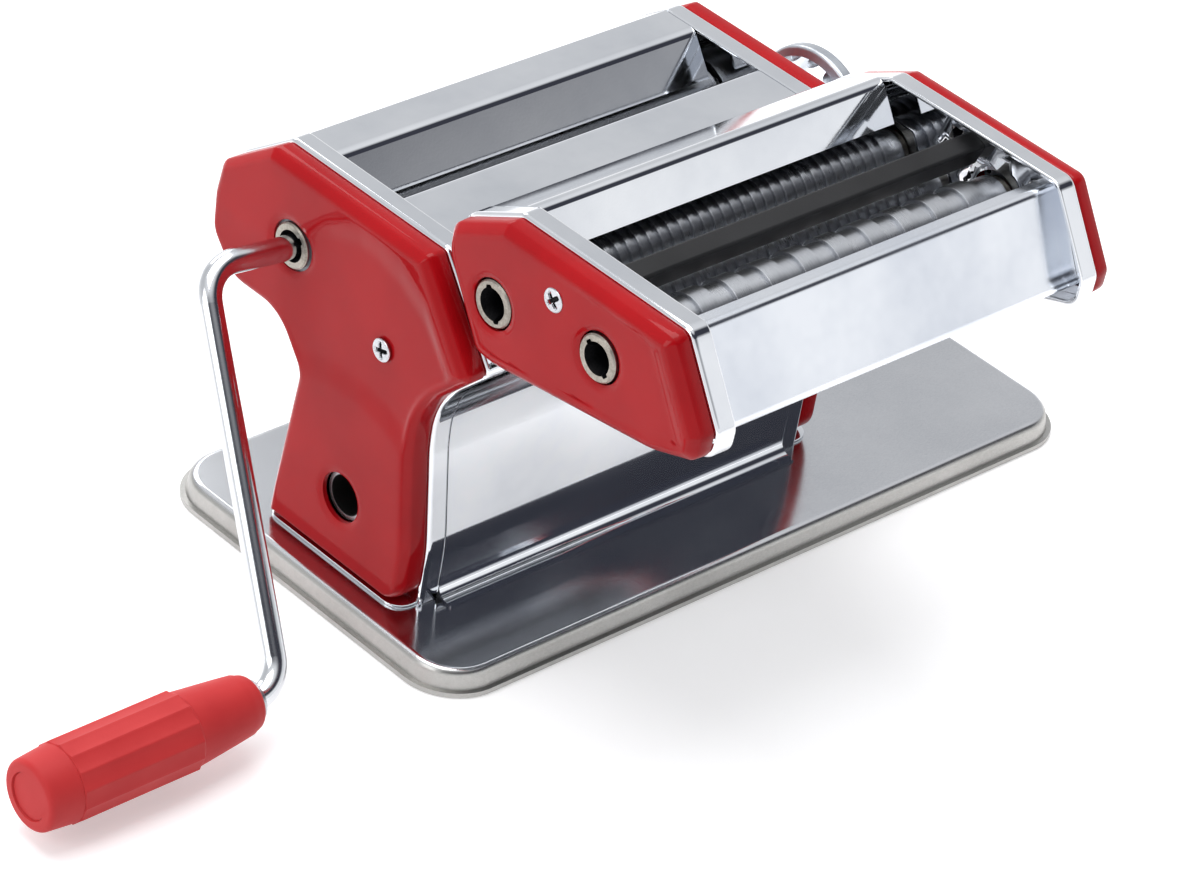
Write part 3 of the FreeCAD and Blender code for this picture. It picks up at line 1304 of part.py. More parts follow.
def cutterComb(which):
    # Bar under a pair of rollers with fingers that reach into the driven one.
    body = newBody(f"{which}_comb")
    half = "cutter_face - cutter_sheet"
    across, height = cutterAxis(which, "drive")
    bar_y = f"{which}_bar_y"
    top = f"{which}_bar_z + comb_bar_high"
    bar = oblong(bar_y, f"{bar_y} + comb_bar_wide", f"{which}_bar_z", top)
    pad(body, f"-({half})", half, drawOutline(bar))
    reach = "(cutter_root + comb_reach)"
    tips = [(f"{across} + {reach} * cos({angle})", f"{height} + {reach} * sin({angle})")
            for angle in ("-comb_near", "-comb_far")]
    finger = sharp((f"{bar_y} + comb_bar_wide / 4", f"{top} - 1"),
                   (f"{bar_y} + comb_bar_wide", f"{top} - 1"), *tips)
    pitch = f"{which}_pitch"
    gap = f"({pitch} - {which}_disc - {which}_finger) / 2"
    start = f"-(({which}_count - 1) * {pitch} + {which}_disc) / 2 + {which}_disc + {gap}"
    first = pad(body, start, f"{start} + {which}_finger", drawOutline(finger))
    repeatLine(body, first, pitch, f"{which}_count - 1")


# ------------------------------------------------------------------ the model

def buildAll():
    basePlate()
    baseMat()
    baseScrews()
    for side in (LEFT, RIGHT):
        sideFrame(side)
        sideCover(side)
        clampSocket(side)
        bearingBlock(side)
        cutterFrame(side)
        cutterCover(side)
    coverScrews()
    frontPanel()
    topCoverFront()
    topCoverRear()
    rearPanel()
    chutePlate()
    tieRods()
    tieRodNuts()
    driveRoller()
    driveBushes()
    movingRoller()
    mainGears()
    yokeBar()
    scraperRear()
    scraperFront()
    regulatorShaft()
    indexPlate()
    indexScrews()
    knob()
    knobFittings()
    crankRod()
    grip()
    cutterCoverScrews()
    cutterPanels()
    cutterMidGuide()
    cutterTieRods()
    cutterBushes()
    for which in ("narrow", "wide"):
        for role in ("drive", "mate"):
            cutterRoller(which, role)
        cutterGears(which)
        cutterComb(which)
    document.recompute()


def checkAll():
    for item in document.Objects:
        if "Invalid" in item.State or "Error" in item.State:
            raise RuntimeError(f"{item.Label} of {item.Name} failed: {item.State}")
    for body in bodies:
        shape = body.Shape
        if shape.isNull() or not shape.isValid() or not shape.Solids:
            raise RuntimeError(f"{body.Label} has no valid solid")


def writeAll():
    os.makedirs("parts", exist_ok=True)
    for body in bodies:
        body.Shape.exportStep(f"parts/{body.Label}.step")
    print(f"{len(bodies)} sub-parts written")


buildAll()
checkAll()
writeAll()
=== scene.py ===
# Pasta machine with its cutter and crank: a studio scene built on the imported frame.
# Lengths in the pieces' dictionaries and the camera's place are millimetres in the frame's axes: x along
# the rollers, the crank at -x, the cutter at -y, z up from the table. Finishes, floor and lamps are in
# metres.
import json
import math
import bmesh
import bpy
import numpy as np
from mathutils import Matrix, Vector
from mathutils.geometry import delaunay_2d_cdt

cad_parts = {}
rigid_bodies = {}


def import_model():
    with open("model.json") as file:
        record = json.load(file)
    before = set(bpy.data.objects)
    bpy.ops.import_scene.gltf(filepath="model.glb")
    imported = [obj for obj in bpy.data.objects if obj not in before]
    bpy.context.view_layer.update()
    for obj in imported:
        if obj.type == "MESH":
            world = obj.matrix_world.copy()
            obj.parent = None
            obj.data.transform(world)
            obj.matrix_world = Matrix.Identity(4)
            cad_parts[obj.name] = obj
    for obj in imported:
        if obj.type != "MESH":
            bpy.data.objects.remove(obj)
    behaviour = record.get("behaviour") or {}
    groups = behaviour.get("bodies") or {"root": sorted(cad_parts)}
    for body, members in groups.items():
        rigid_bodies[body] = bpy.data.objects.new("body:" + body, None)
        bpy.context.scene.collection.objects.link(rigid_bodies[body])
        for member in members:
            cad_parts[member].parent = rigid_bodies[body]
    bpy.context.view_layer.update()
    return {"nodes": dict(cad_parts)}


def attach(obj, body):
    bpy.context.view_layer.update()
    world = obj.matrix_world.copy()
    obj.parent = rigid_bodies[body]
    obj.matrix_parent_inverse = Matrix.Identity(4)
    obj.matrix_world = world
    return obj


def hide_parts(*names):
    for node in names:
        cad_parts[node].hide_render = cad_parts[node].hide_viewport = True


for leftover in list(bpy.data.objects):
    bpy.data.objects.remove(leftover)
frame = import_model()
nodes = frame["nodes"]
print("frame loaded:", len(nodes), "nodes")


class Wire:
    # a socket that can stand in an expression, which adds its Math nodes
    def __init__(self, paint, socket):
        self.paint = paint
        self.socket = socket

    def maths(self, operation, first, second):
        return self.paint.node("ShaderNodeMath", {"operation": operation}, {0: first, 1: second})

    def __add__(self, other):
        return self.maths("ADD", self, other)

    def __radd__(self, other):
        return self.maths("ADD", other, self)

    def __sub__(self, other):
        return self.maths("SUBTRACT", self, other)

    def __rsub__(self, other):
        return self.maths("SUBTRACT", other, self)

    def __mul__(self, other):
        return self.maths("MULTIPLY", self, other)

    def __rmul__(self, other):
        return self.maths("MULTIPLY", other, self)

    def __pow__(self, other):
        return self.maths("POWER", self, other)


class Paint:
    # the node tree of a material or of the world, while it is being filled
    def __init__(self, owner):
        owner.use_nodes = True
        self.owner = owner
        self.tree = owner.node_tree
        self.tree.nodes.clear()

    def node(self, kind, settings=None, sockets=None, out=0):
        made = self.tree.nodes.new(kind)
        for name, value in (settings or {}).items():
            if name == "stops":
                while len(made.color_ramp.elements) < len(value):
                    made.color_ramp.elements.new(0.5)
                for stop, (place, colour) in zip(made.color_ramp.elements, value):
                    stop.position = place
                    stop.color = colour
            else:
                setattr(made, name, value)
        for name, value in (sockets or {}).items():
            if isinstance(value, Wire):
                self.tree.links.new(value.socket, made.inputs[name])
            else:
                made.inputs[name].default_value = value
        return Wire(self, made.outputs[out])

    def place(self):
        return self.node("ShaderNodeTexCoord", out="Object")

    def split(self, value):
        parts = self.node("ShaderNodeSeparateXYZ", {}, {0: value})
        return [parts, *(Wire(self, parts.socket.node.outputs[step]) for step in (1, 2))]

    def stretched(self, scale):
        return self.node("ShaderNodeMapping", {}, {"Vector": self.place(), "Scale": scale})

    def noise(self, where, scale, detail=3, rough=0.5):
        sockets = {"Vector": where, "Scale": scale, "Detail": detail, "Roughness": rough}
        return self.node("ShaderNodeTexNoise", {}, sockets)

    def range(self, value, low, high, toLow, toHigh):
        return self.node("ShaderNodeMapRange", {}, {0: value, 1: low, 2: high, 3: toLow, 4: toHigh})

    def mixed(self, factor, first, second):
        return self.node("ShaderNodeMix", {"data_type": "RGBA"}, {0: factor, 6: first, 7: second}, out=2)

    def bump(self, height, distance, strength=1):
        sockets = {"Height": height, "Distance": distance, "Strength": strength}
        return self.node("ShaderNodeBump", {}, sockets)

    def surface(self, sockets):
        return self.node("ShaderNodeBsdfPrincipled", {}, sockets)

    def finish(self, shader):
        kind = "World" if isinstance(self.owner, bpy.types.World) else "Material"
        ending = self.tree.nodes.new("ShaderNodeOutput" + kind)
        self.tree.links.new(shader.socket, ending.inputs["Surface"])
        return self.owner


def tint(red, green, blue):
    # a screen colour of 0-255 as the linear colour that shaders take
    share = np.array([red, green, blue]) / 255
    linear = np.where(share <= 0.04045, share / 12.92, ((share + 0.055) / 1.055) ** 2.4)
    return (*linear.tolist(), 1)


enamel = {
    "base": tint(168, 15, 22), "deep": tint(157, 11, 19), "rough": (0.32, 0.4),
    "coat": 0.36, "coatRough": 0.03,
}


def enamelPaint(name, look):
    # stoved enamel: a faint orange-peel ripple under a clear hard coat
    paint = Paint(bpy.data.materials.new(name))
    where = paint.place()
    cloud = paint.noise(where, 38, 3)
    peel = paint.noise(where, 900, 2)
    speck = paint.noise(where, 2600, 2)
    colour = paint.mixed(paint.range(cloud, 0.35, 0.65, 0, 1), look["base"], look["deep"])
    rough = paint.range(cloud, 0.3, 0.7, *look["rough"])
    height = peel * 0.7 + speck * 0.3
    return paint.finish(paint.surface({
        "Base Color": colour, "Roughness": rough, "Coat Weight": look["coat"],
        "Coat Roughness": look["coatRough"], "Coat IOR": 1.5, "Specular IOR Level": 0.03,
        "Normal": paint.bump(height, 0.00003, 0.35)}))


mirror = {"base": tint(240, 242, 245), "dull": tint(222, 225, 230), "rough": (0.035, 0.09)}
chromePlate = {"base": tint(238, 240, 243), "dull": tint(222, 225, 230), "rough": (0.03, 0.08)}
cutterSheet = {"base": tint(240, 243, 248), "dull": tint(216, 221, 230), "rough": (0.15, 0.27)}
rodPlate = {"base": tint(226, 228, 231), "dull": tint(204, 207, 212), "rough": (0.12, 0.22)}
traySheet = {
    "base": tint(222, 223, 226), "dull": tint(200, 202, 206), "rough": (0.1, 0.2), "flat": (0.0072, 0.0078),
    "rim": tint(194, 193, 190), "rimDull": tint(166, 165, 162), "rimRough": (0.26, 0.4),
}


def mirrorPaint(name, look, grain=(1, 1, 1)):
    # polished sheet: cloudy handling marks and hair-fine buffing lines in the roughness
    paint = Paint(bpy.data.materials.new(name))
    cloud = paint.noise(paint.place(), 22, 4, 0.6)
    hair = paint.noise(paint.stretched([40 * share for share in grain]), 30, 2)
    wave = paint.noise(paint.place(), 14, 1)
    smear = paint.range(cloud, 0.35, 0.7, 0, 1)
    colour = paint.mixed(smear, look["base"], look["dull"])
    rough = paint.range(smear * 0.7 + hair * 0.3, 0.1, 0.9, *look["rough"])
    height = hair * 0.02 + wave * 0.98
    return paint.finish(paint.surface({
        "Base Color": colour, "Metallic": 1.0, "Roughness": rough,
        "Normal": paint.bump(height, 0.00025, 0.35)}))


def trayPaint(name, look):
    # pressed steel: polished on the flat, dulled by the die on the rolled rim below it
    paint = Paint(bpy.data.materials.new(name))
    height = paint.split(paint.place())[2]
    flat = paint.range(height, *look["flat"], 0, 1)
    cloud = paint.noise(paint.place(), 22, 4, 0.6)
    hair = paint.noise(paint.stretched((40, 240, 240)), 30, 2)
    smear = paint.range(cloud * 0.6 + hair * 0.4, 0.35, 0.7, 0, 1)
    top = paint.mixed(smear, look["base"], look["dull"])
    grit = paint.noise(paint.place(), 620, 2, 0.55)
    pitted = paint.range(grit * 0.12 + cloud * 0.5 + hair * 0.38, 0.36, 0.64, 0, 1)
    rim = paint.mixed(pitted, look["rim"], look["rimDull"])
    rimRough = paint.range(pitted, 0, 1, *look["rimRough"])
    rough = paint.range(smear, 0, 1, *look["rough"]) * flat + rimRough * (1 - flat)
    wave = paint.noise(paint.place(), 14, 1)
    return paint.finish(paint.surface({
        "Base Color": paint.mixed(flat, rim, top), "Metallic": 1.0, "Roughness": rough,
        "Normal": paint.bump(hair * 0.03 + wave * 0.97, 0.0003, 0.4)}))


satin = {"base": tint(206, 208, 212), "dull": tint(178, 181, 186), "rough": (0.2, 0.34)}
turnedFace = {"base": tint(200, 202, 206), "dull": tint(160, 163, 168), "rough": (0.24, 0.38)}
bushFace = {"base": tint(176, 174, 170), "dull": tint(132, 130, 126), "rough": (0.26, 0.42)}
# painted shade: a near-black steel for the faces deep in the roller sockets and in the screws' cross recesses
boreShadeFace = {"base": tint(46, 46, 48), "dull": tint(20, 20, 22), "rough": (0.5, 0.65)}
hubFace = {"base": tint(178, 172, 162), "dull": tint(112, 108, 101), "rough": (0.28, 0.44)}
knobFace = {"base": tint(198, 202, 208), "dull": tint(172, 177, 184), "rough": (0.3, 0.4)}
# its dark tone is painted shade, the near black inside the clamp socket's bore
tubeFace = {
    "base": tint(190, 192, 196), "dull": tint(160, 162, 166), "rough": (0.28, 0.4), "dark": tint(16, 15, 15),
    "centre": (-0.0113, 0.0313), "bore": (0.0063, 0.0066),
}
gearFace = {"base": tint(120, 122, 126), "dull": tint(86, 88, 92), "rough": (0.35, 0.55)}


def turnedPaint(name, look, lines=(1, 1, 1), depth=0.00004):
    # machined metal: tool lines that follow the axes which are squeezed least
    paint = Paint(bpy.data.materials.new(name))
    cloud = paint.noise(paint.place(), 60, 3, 0.6)
    line = paint.noise(paint.stretched(lines), 60, 3, 0.6)
    smear = paint.range(cloud * 0.5 + line * 0.5, 0.3, 0.7, 0, 1)
    return paint.finish(paint.surface({
        "Base Color": paint.mixed(smear, look["base"], look["dull"]), "Metallic": 1.0,
        "Roughness": paint.range(smear, 0, 1, *look["rough"]),
        "Normal": paint.bump(line, depth, 0.5)}))


def tubePaint(name, look):
    # bright outside; painted shade inside the bore: near black, less metallic and rougher
    paint = Paint(bpy.data.materials.new(name))
    across, height = paint.split(paint.place())[1:]
    across = across - look["centre"][0]
    height = height - look["centre"][1]
    outside = paint.range((across * across + height * height) ** 0.5, *look["bore"], 0, 1)
    cloud = paint.noise(paint.place(), 300, 3, 0.6)
    smear = paint.range(cloud, 0.3, 0.7, 0, 1)
    steel = paint.mixed(smear, look["base"], look["dull"])
    return paint.finish(paint.surface({
        "Base Color": paint.mixed(outside, look["dark"], steel), "Metallic": outside * 0.6 + 0.4,
        "Roughness": paint.range(smear, 0, 1, *look["rough"]) + 0.3 * (1 - outside),
        "Normal": paint.bump(cloud, 0.00004, 0.4)}))


gripRed = {"base": tint(196, 52, 53), "deep": tint(184, 44, 46), "rough": (0.5, 0.6)}
black = {"base": tint(26, 26, 28), "deep": tint(38, 38, 40), "rough": (0.4, 0.55)}
foam = {"base": tint(34, 34, 36), "deep": tint(52, 52, 54), "rough": (0.8, 0.95)}


def plasticPaint(name, look, grainSize=1400, depth=0.00004):
    # moulded plastic: fine spark-erosion grain and a cloudy sheen
    paint = Paint(bpy.data.materials.new(name))
    cloud = paint.noise(paint.place(), 45, 3)
    grain = paint.noise(paint.place(), grainSize, 3, 0.6)
    smear = paint.range(cloud, 0.3, 0.7, 0, 1)
    return paint.finish(paint.surface({
        "Base Color": paint.mixed(smear, look["base"], look["deep"]),
        "Roughness": paint.range(smear, 0, 1, *look["rough"]), "Specular IOR Level": 0.25,
        "Normal": paint.bump(grain, depth, 0.5)}))


finishes = {
    "enamel_red": enamelPaint("redEnamel", enamel),
    "mirror_steel": mirrorPaint("mirrorSteel", mirror),
    "chrome": mirrorPaint("chromePlate", chromePlate),
    "bright_steel": turnedPaint("brightSteel", satin, (4, 30, 30)),
    "roller_steel": turnedPaint("rollerSteel", turnedFace, (60, 4, 4)),
    "bush_steel": turnedPaint("bushSteel", bushFace, (30, 30, 30)),
    "gear_steel": turnedPaint("gearSteel", gearFace, (12, 12, 12), 0.0001),
    "tray_steel": trayPaint("traySteel", traySheet),
    "rod_steel": mirrorPaint("rodSteel", rodPlate),
    "cutter_steel": mirrorPaint("cutterSteel", cutterSheet, (1, 8, 8)),
    "hub_steel": turnedPaint("hubSteel", hubFace, (20, 20, 20)),
    "knob_steel": turnedPaint("knobSteel", knobFace, (8, 8, 8)),
    "tube_steel": tubePaint("tubeSteel", tubeFace),
    "bore_steel": turnedPaint("boreShadeSteel", boreShadeFace, (20, 20, 20)),
    "grip_plastic": plasticPaint("gripPlastic", gripRed),
    "dark_plastic": plasticPaint("blackPlastic", black),
    "foam": plasticPaint("foamRubber", foam, 700, 0.0003),
}
for node in nodes.values():
    for holder in node.material_slots:
        holder.material = finishes[holder.material.name]
special = {
    "base_plate": "tray_steel", "cutter_front_panel": "cutter_steel", "knob": "knob_steel",
    "crank_rod": "rod_steel", "clamp_socket_left": "tube_steel", "clamp_socket_right": "tube_steel",
}
for name, kind in special.items():
    nodes[name].material_slots[0].material = finishes[kind]
print("finishes:", len(finishes))


def ringPoints(corners, inset=0.0, steps=8, extra=0):
    # A closed outline, turned counterclockwise, as (n, 2) points. Every edge moves inward by the inset,
    # and each corner becomes its arc: radius less the inset on an outer bend, plus the inset on an inner one.
    spot = np.array([corner[:2] for corner in corners], float)
    radius = np.array([corner[2] for corner in corners], float)
    after = np.roll(spot, -1, 0)
    if (spot[:, 0] * after[:, 1] - after[:, 0] * spot[:, 1]).sum() < 0:
        spot, radius = spot[::-1], radius[::-1]
    along = np.roll(spot, -1, 0) - spot
    along /= np.linalg.norm(along, axis=1)[:, None]
    before = np.roll(along, 1, 0)
    cosine = (before * along).sum(1)
    turn = np.arctan2(before[:, 0] * along[:, 1] - before[:, 1] * along[:, 0], cosine)
    inward = np.stack([-along[:, 1], along[:, 0]], 1)
    inwardBefore = np.roll(inward, 1, 0)
    moved = spot + inset * (inward + inwardBefore) / (1 + cosine)[:, None]
    way = np.sign(turn)
    bend = np.maximum(radius - inset * way, 0.05)
    begin = moved - before * (bend * np.tan(np.abs(turn) / 2))[:, None]
    centre = begin + inwardBefore * (way * bend)[:, None]
    arm = begin - centre
    angle = turn[:, None] * np.linspace(0, 1, steps + 1)[None, :]
    arcs = centre[:, None, :] + np.stack([
        np.cos(angle) * arm[:, None, 0] - np.sin(angle) * arm[:, None, 1],
        np.sin(angle) * arm[:, None, 0] + np.cos(angle) * arm[:, None, 1]], 2)
    if extra:
        share = (np.arange(1, extra + 1) / (extra + 1))[None, :, None]
        runs = arcs[:, -1:] * (1 - share) + np.roll(arcs[:, :1], -1, 0) * share
        arcs = np.concatenate([arcs, runs], 1)
    return arcs.reshape(-1, 2)


def circlePoints(across, height, radius, count=64):
    angle = np.linspace(0, 2 * np.pi, count, endpoint=False)
    return np.stack([across + radius * np.cos(angle), height + radius * np.sin(angle)], 1)


def isInside(points, ring):
    # a ray to the right crosses a closed outline an odd number of times from inside
    first, second = ring, np.roll(ring, -1, 0)
    across, height = points[:, None, 0], points[:, None, 1]
    spans = (first[None, :, 1] > height) != (second[None, :, 1] > height)
    rise = second[:, 1] - first[:, 1]
    rise = np.where(np.abs(rise) < 1e-12, 1e-12, rise)
    slope = (second[:, 0] - first[:, 0]) / rise
    crossing = first[None, :, 0] + (height - first[None, :, 1]) * slope[None, :]
    return (spans & (across < crossing)).sum(1) % 2 == 1


def gridFaces(rows, columns):
    # quads between neighbouring rows of a grid of points whose every row is a closed ring
    row, column = np.divmod(np.arange((rows - 1) * columns), columns)
    nextRow, nextColumn = row + 1, (column + 1) % columns
    return np.stack([row * columns + column, row * columns + nextColumn,
                     nextRow * columns + nextColumn, nextRow * columns + column], 1)


def filledFace(outer, holes, spacing):
    # triangles over a flat region between its outline and its holes, on a staggered grid of inner points
    low, high = outer.min(0), outer.max(0)
    across, upward = np.arange(low[0], high[0], spacing), np.arange(low[1], high[1], spacing * 0.866)
    column, row = np.meshgrid(across, upward)
    column = column + (np.arange(row.shape[0]) % 2)[:, None] * spacing / 2
    points = np.stack([column.ravel(), row.ravel()], 1)
    points = points[isInside(points, outer)]
    for hole in holes:
        points = points[~isInside(points, hole)]
    rims = np.concatenate([outer, *holes])
    near = ((points[:, None, :] - rims[None, :, :]) ** 2).sum(2).min(1)
    points = points[near > (0.55 * spacing) ** 2]
    edges = []
    start = 0
    for ring in [outer, *holes]:
        count = len(ring)
        step = np.arange(count)
        edges.append(np.stack([start + step, start + (step + 1) % count], 1))
        start += count
    everything = [Vector(point) for point in np.concatenate([rims, points]).tolist()]
    made = delaunay_2d_cdt(everything, np.concatenate(edges).tolist(), [], 0, 1e-5)
    spots = np.array([tuple(point) for point in made[0]])
    faces = np.array(made[2])
    middle = spots[faces].mean(1)
    kept = isInside(middle, outer)
    for hole in holes:
        kept &= ~isInside(middle, hole)
    return spots, faces[kept]


def smoothStep(value, low, high):
    share = np.clip((value - low) / (high - low), 0, 1)
    return share * share * (3 - 2 * share)


def shaped(name, patches, finish, body, replaced=(), facing=None, wall=0.0, sharp=32.0):
    # Joins patches of points and faces, each with its own finish or the piece's, into one object in
    # metres, with its faces outward and smooth but for sharp edges.
    points, faces, marks = [], [], []
    start = 0
    palette = [finish]
    for spots, quads, *own in patches:
        if own and own[0] not in palette:
            palette.append(own[0])
        points.append(np.asarray(spots, float))
        faces += (np.asarray(quads) + start).tolist()
        marks += [palette.index(own[0] if own else finish)] * len(quads)
        start += len(spots)
    mesh = bpy.data.meshes.new(name)
    mesh.from_pydata((np.concatenate(points) / 1000).tolist(), [], faces)
    for kind in palette:
        mesh.materials.append(finishes[kind])
    mesh.polygons.foreach_set("material_index", marks)
    work = bmesh.new()
    work.from_mesh(mesh)
    bmesh.ops.remove_doubles(work, verts=work.verts, dist=3e-6)
    bmesh.ops.dissolve_degenerate(work, dist=1e-6, edges=work.edges)
    bmesh.ops.recalc_face_normals(work, faces=work.faces)
    if facing is not None:
        way = Vector(facing)
        if sum(face.normal.dot(way) * face.calc_area() for face in work.faces) < 0:
            bmesh.ops.reverse_faces(work, faces=work.faces)
    elif work.calc_volume(signed=True) < 0:
        bmesh.ops.reverse_faces(work, faces=work.faces)
    work.to_mesh(mesh)
    work.free()
    mesh.polygons.foreach_set("use_smooth", np.ones(len(mesh.polygons), bool))
    mesh.set_sharp_from_angle(angle=math.radians(sharp))
    piece = bpy.data.objects.new(name, mesh)
    bpy.context.scene.collection.objects.link(piece)
    if wall:
        thick = piece.modifiers.new("wall", "SOLIDIFY")
        thick.thickness = wall / 1000
        thick.offset = -1
        thick.use_quality_normals = True
    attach(piece, body)
    if replaced:
        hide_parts(*replaced)


# pressed covers; a corner is its place across, its height and its radius, a hole the same with its own radius
coverShape = {
    "corners": [(-41.1, 10.2, 8), (-41.8, 28, 60), (-38, 60, 40), (-38, 77, 28), (-57.5, 96.5, 3),
                (-34.6, 126.4, 3), (32.9, 126.4, 4), (54.4, 110.9, 6), (56.5, 100, 8), (56.3, 87, 10),
                (45, 74.6, 12), (24, 74.6, 14), (13.2, 61.5, 6), (20.4, 10.2, 1.5)],
    "root": 76.0, "deep": 8.5, "sheet": 1.4, "spacing": 1.3, "edge": 1.2, "margin": 0.7, "foot": 10.2,
    "hub": (20, 100, 7.9), "clamp": (-11.3, 31.3, 7.8), "screw": (-21.8, 88.3, 2.05),
    "farScrew": (-36, 108, 2.05),
}
cutterShape = {
    "corners": [(-62, 103.2, 1.5), (-124, 111.6, 30), (-141.5, 117.5, 6), (-142.3, 126, 5),
                (-126.8, 150.6, 5), (-60, 150.6, 4), (-38.5, 139.5, 6), (-37.8, 130, 12), (-54, 103.5, 7)],
    "root": 74.2, "deep": 7.5, "sheet": 1.2, "spacing": 1.2, "edge": 1.45, "margin": 0.8,
    "hubs": [(-59.8, 123.7, 7.75), (-101.3, 129.5, 7.75)], "screw": (-82.7, 137.9, 2.05),
}
# how far in from the outline, and how far short of the full depth, each line of the pressed edge runs
edgeLines = [(0.85, 8.45), (0.35, 8.2), (0.1, 7.7), (0.0, 7.0), (0.0, 5.0), (0.0, 2.6), (0.03, 2.3),
             (0.16, 1.98), (0.45, 1.58), (0.95, 1.1), (1.45, 0.63), (1.85, 0.33), (2.3, 0.12), (2.8, 0.03),
             (3.4, 0.0)]
# holes wider than this get the wide dip, each dip as depth and width
pressing = {"wideHole": 4, "wideDip": (0.75, 2.2), "screwDip": (0.3, 2.6), "wideSteps": 72, "screwSteps": 28}
# the borders of the field in the left cover, as places across and their heights
coverField = {
    "press": 1.15, "least": 0.15, "fade": (4, 26),
    "upper": [(-57, 86), (-50, 95), (-45, 102), (-37, 113.6), (-25, 121), (-16, 122.4), (-8, 122), (5, 118),
              (17, 110), (30, 98)],
    "lower": [(-57, 82), (-50, 90), (-45, 96), (-37, 104.6), (-25, 110.8), (-16, 113.6), (-8, 114.2),
              (5, 110), (15, 101.5), (30, 92)],
    "foot": [(-60, 50), (-37, 59), (-34, 64), (-27, 67.5), (-15, 69.8), (-2, 69), (11, 65.6), (30, 62)],
}
# the field in the left cutter cover: its distance in from the top and the front edge, then its soft border
cutterField = {
    "press": 0.8, "corner": (-126.8, 150.6), "front": (0.846, 0.533), "top": 2.8, "topSoft": 3.4,
    "frontIn": 4.6, "frontSoft": 6.0, "fade": (-104, -72),
}


def dimple(points, spot, depth, width):
    # the sheet dips toward the rim of a hole
    away = np.hypot(points[:, 0] - spot[0], points[:, 1] - spot[1]) - spot[2]
    return -depth * (1 - smoothStep(away, 0, width)) ** 2


def mainRelief(points):
    # a shallow field pressed in: full depth between its upper and lower borders, fading behind the hub
    look = coverField
    across, height = points[:, 0], points[:, 1]
    upper, lower, foot = (np.interp(across, *np.transpose(look[name])) for name in ("upper", "lower", "foot"))
    top = 1 - smoothStep(height, lower - 0.5, upper + 0.5)
    bottom = smoothStep(height, foot - 4.5, foot + 4.5)
    behind = 1 - smoothStep(across, *look["fade"])
    return -look["press"] * top * bottom * (look["least"] + (1 - look["least"]) * behind)


def cutterRelief(points):
    # a field pressed in near the front corner, its border parallel to the top and front edges
    look = cutterField
    across, height = points[:, 0], points[:, 1]
    back, drop = across - look["corner"][0], look["corner"][1] - height
    fromTop = (drop - look["top"]) / look["topSoft"]
    fromFront = (back * look["front"][0] + drop * look["front"][1] - look["frontIn"]) / look["frontSoft"]
    both = np.clip(np.stack([fromTop, fromFront]), 0, 1)
    field = smoothStep(both[0], 0, 1) * smoothStep(both[1], 0, 1)
    return -look["press"] * field * (1 - smoothStep(across, *look["fade"]))


def pressedCover(name, look, side, holes, relief, body, node):
    # Wall and edge: the outline carried outward along the edge lines, and a second wall one sheet further
    # in. Face: a filled grid whose height is the full depth plus the pressed field and a dip at each hole.
    # The foot edge stays straight.
    deep, edge, margin, sheet = look["deep"], look["edge"], look["margin"], look["sheet"]
    outer = [(inset * edge, deep - short * edge) for inset, short in edgeLines if short * edge < deep - 1]
    inner = [(3.4 * edge, deep - sheet), (2.4 * edge + 0.3, deep - sheet - 0.08 * edge),
             (1.5 * edge + 0.5, deep - sheet - 0.6 * edge), (0.8 * edge + 0.8, deep - sheet - 1.3 * edge),
             (sheet, deep - sheet - 2.1 * edge), (sheet, 0.05)]
    lines = inner + [(0.9, 0.05), (0.3, 0.35), (0.0, 0.9)] + outer[2:]
    kinds = ["wide" if hole[2] > pressing["wideHole"] else "screw" for hole in holes]

    def height(points):
        total = relief(points) if relief else np.zeros(len(points))
        for hole, kind in zip(holes, kinds):
            total = total + dimple(points, hole, *pressing[kind + "Dip"])
        return total

    wall = []
    for inset, out in lines:
        ring = ringPoints(look["corners"], inset + margin, 10, 6)
        if "foot" in look:
            foot = 1 - smoothStep(ring[:, 1], look["foot"] + 1, look["foot"] + 10)
            ring[:, 1] -= foot * (inset + margin - 0.25 * smoothStep(inset, 1, 3))
        ease = smoothStep(inset, 1.4 * edge, 3.4 * edge)
        wall.append(np.column_stack([side * (look["root"] + out + height(ring) * ease), ring]))
    patches = [(np.concatenate(wall), gridFaces(len(lines), len(ring)))]
    cuts = [circlePoints(*hole, pressing[kind + "Steps"]) for hole, kind in zip(holes, kinds)]
    spots, faces = filledFace(ring, cuts, look["spacing"])
    face = look["root"] + deep
    for back in (0, sheet):
        patches.append((np.column_stack([side * (face - back + height(spots)), spots]), faces))
    for cut in cuts:
        rims = [np.column_stack([side * (face - back + height(cut)), cut]) for back in (0, sheet)]
        patches.append((np.concatenate(rims), gridFaces(2, len(cut))))
    shaped(name, patches, "enamel_red", body, [node], sharp=40)


def buildCovers():
    look = coverShape
    hub, clamp, screw = look["hub"], look["clamp"], look["screw"]
    pressedCover("sideCoverLeft", look, -1, [hub, clamp, screw], mainRelief, "machine", "side_cover_left")
    pressedCover("sideCoverRight", look, 1, [clamp, look["farScrew"]], None, "machine", "side_cover_right")
    look = cutterShape
    holes = [*look["hubs"], look["screw"]]
    pressedCover("cutterCoverLeft", look, -1, holes, cutterRelief, "cutter", "cutter_cover_left")
    pressedCover("cutterCoverRight", look, 1, holes[-1:], cutterRelief, "cutter", "cutter_cover_right")


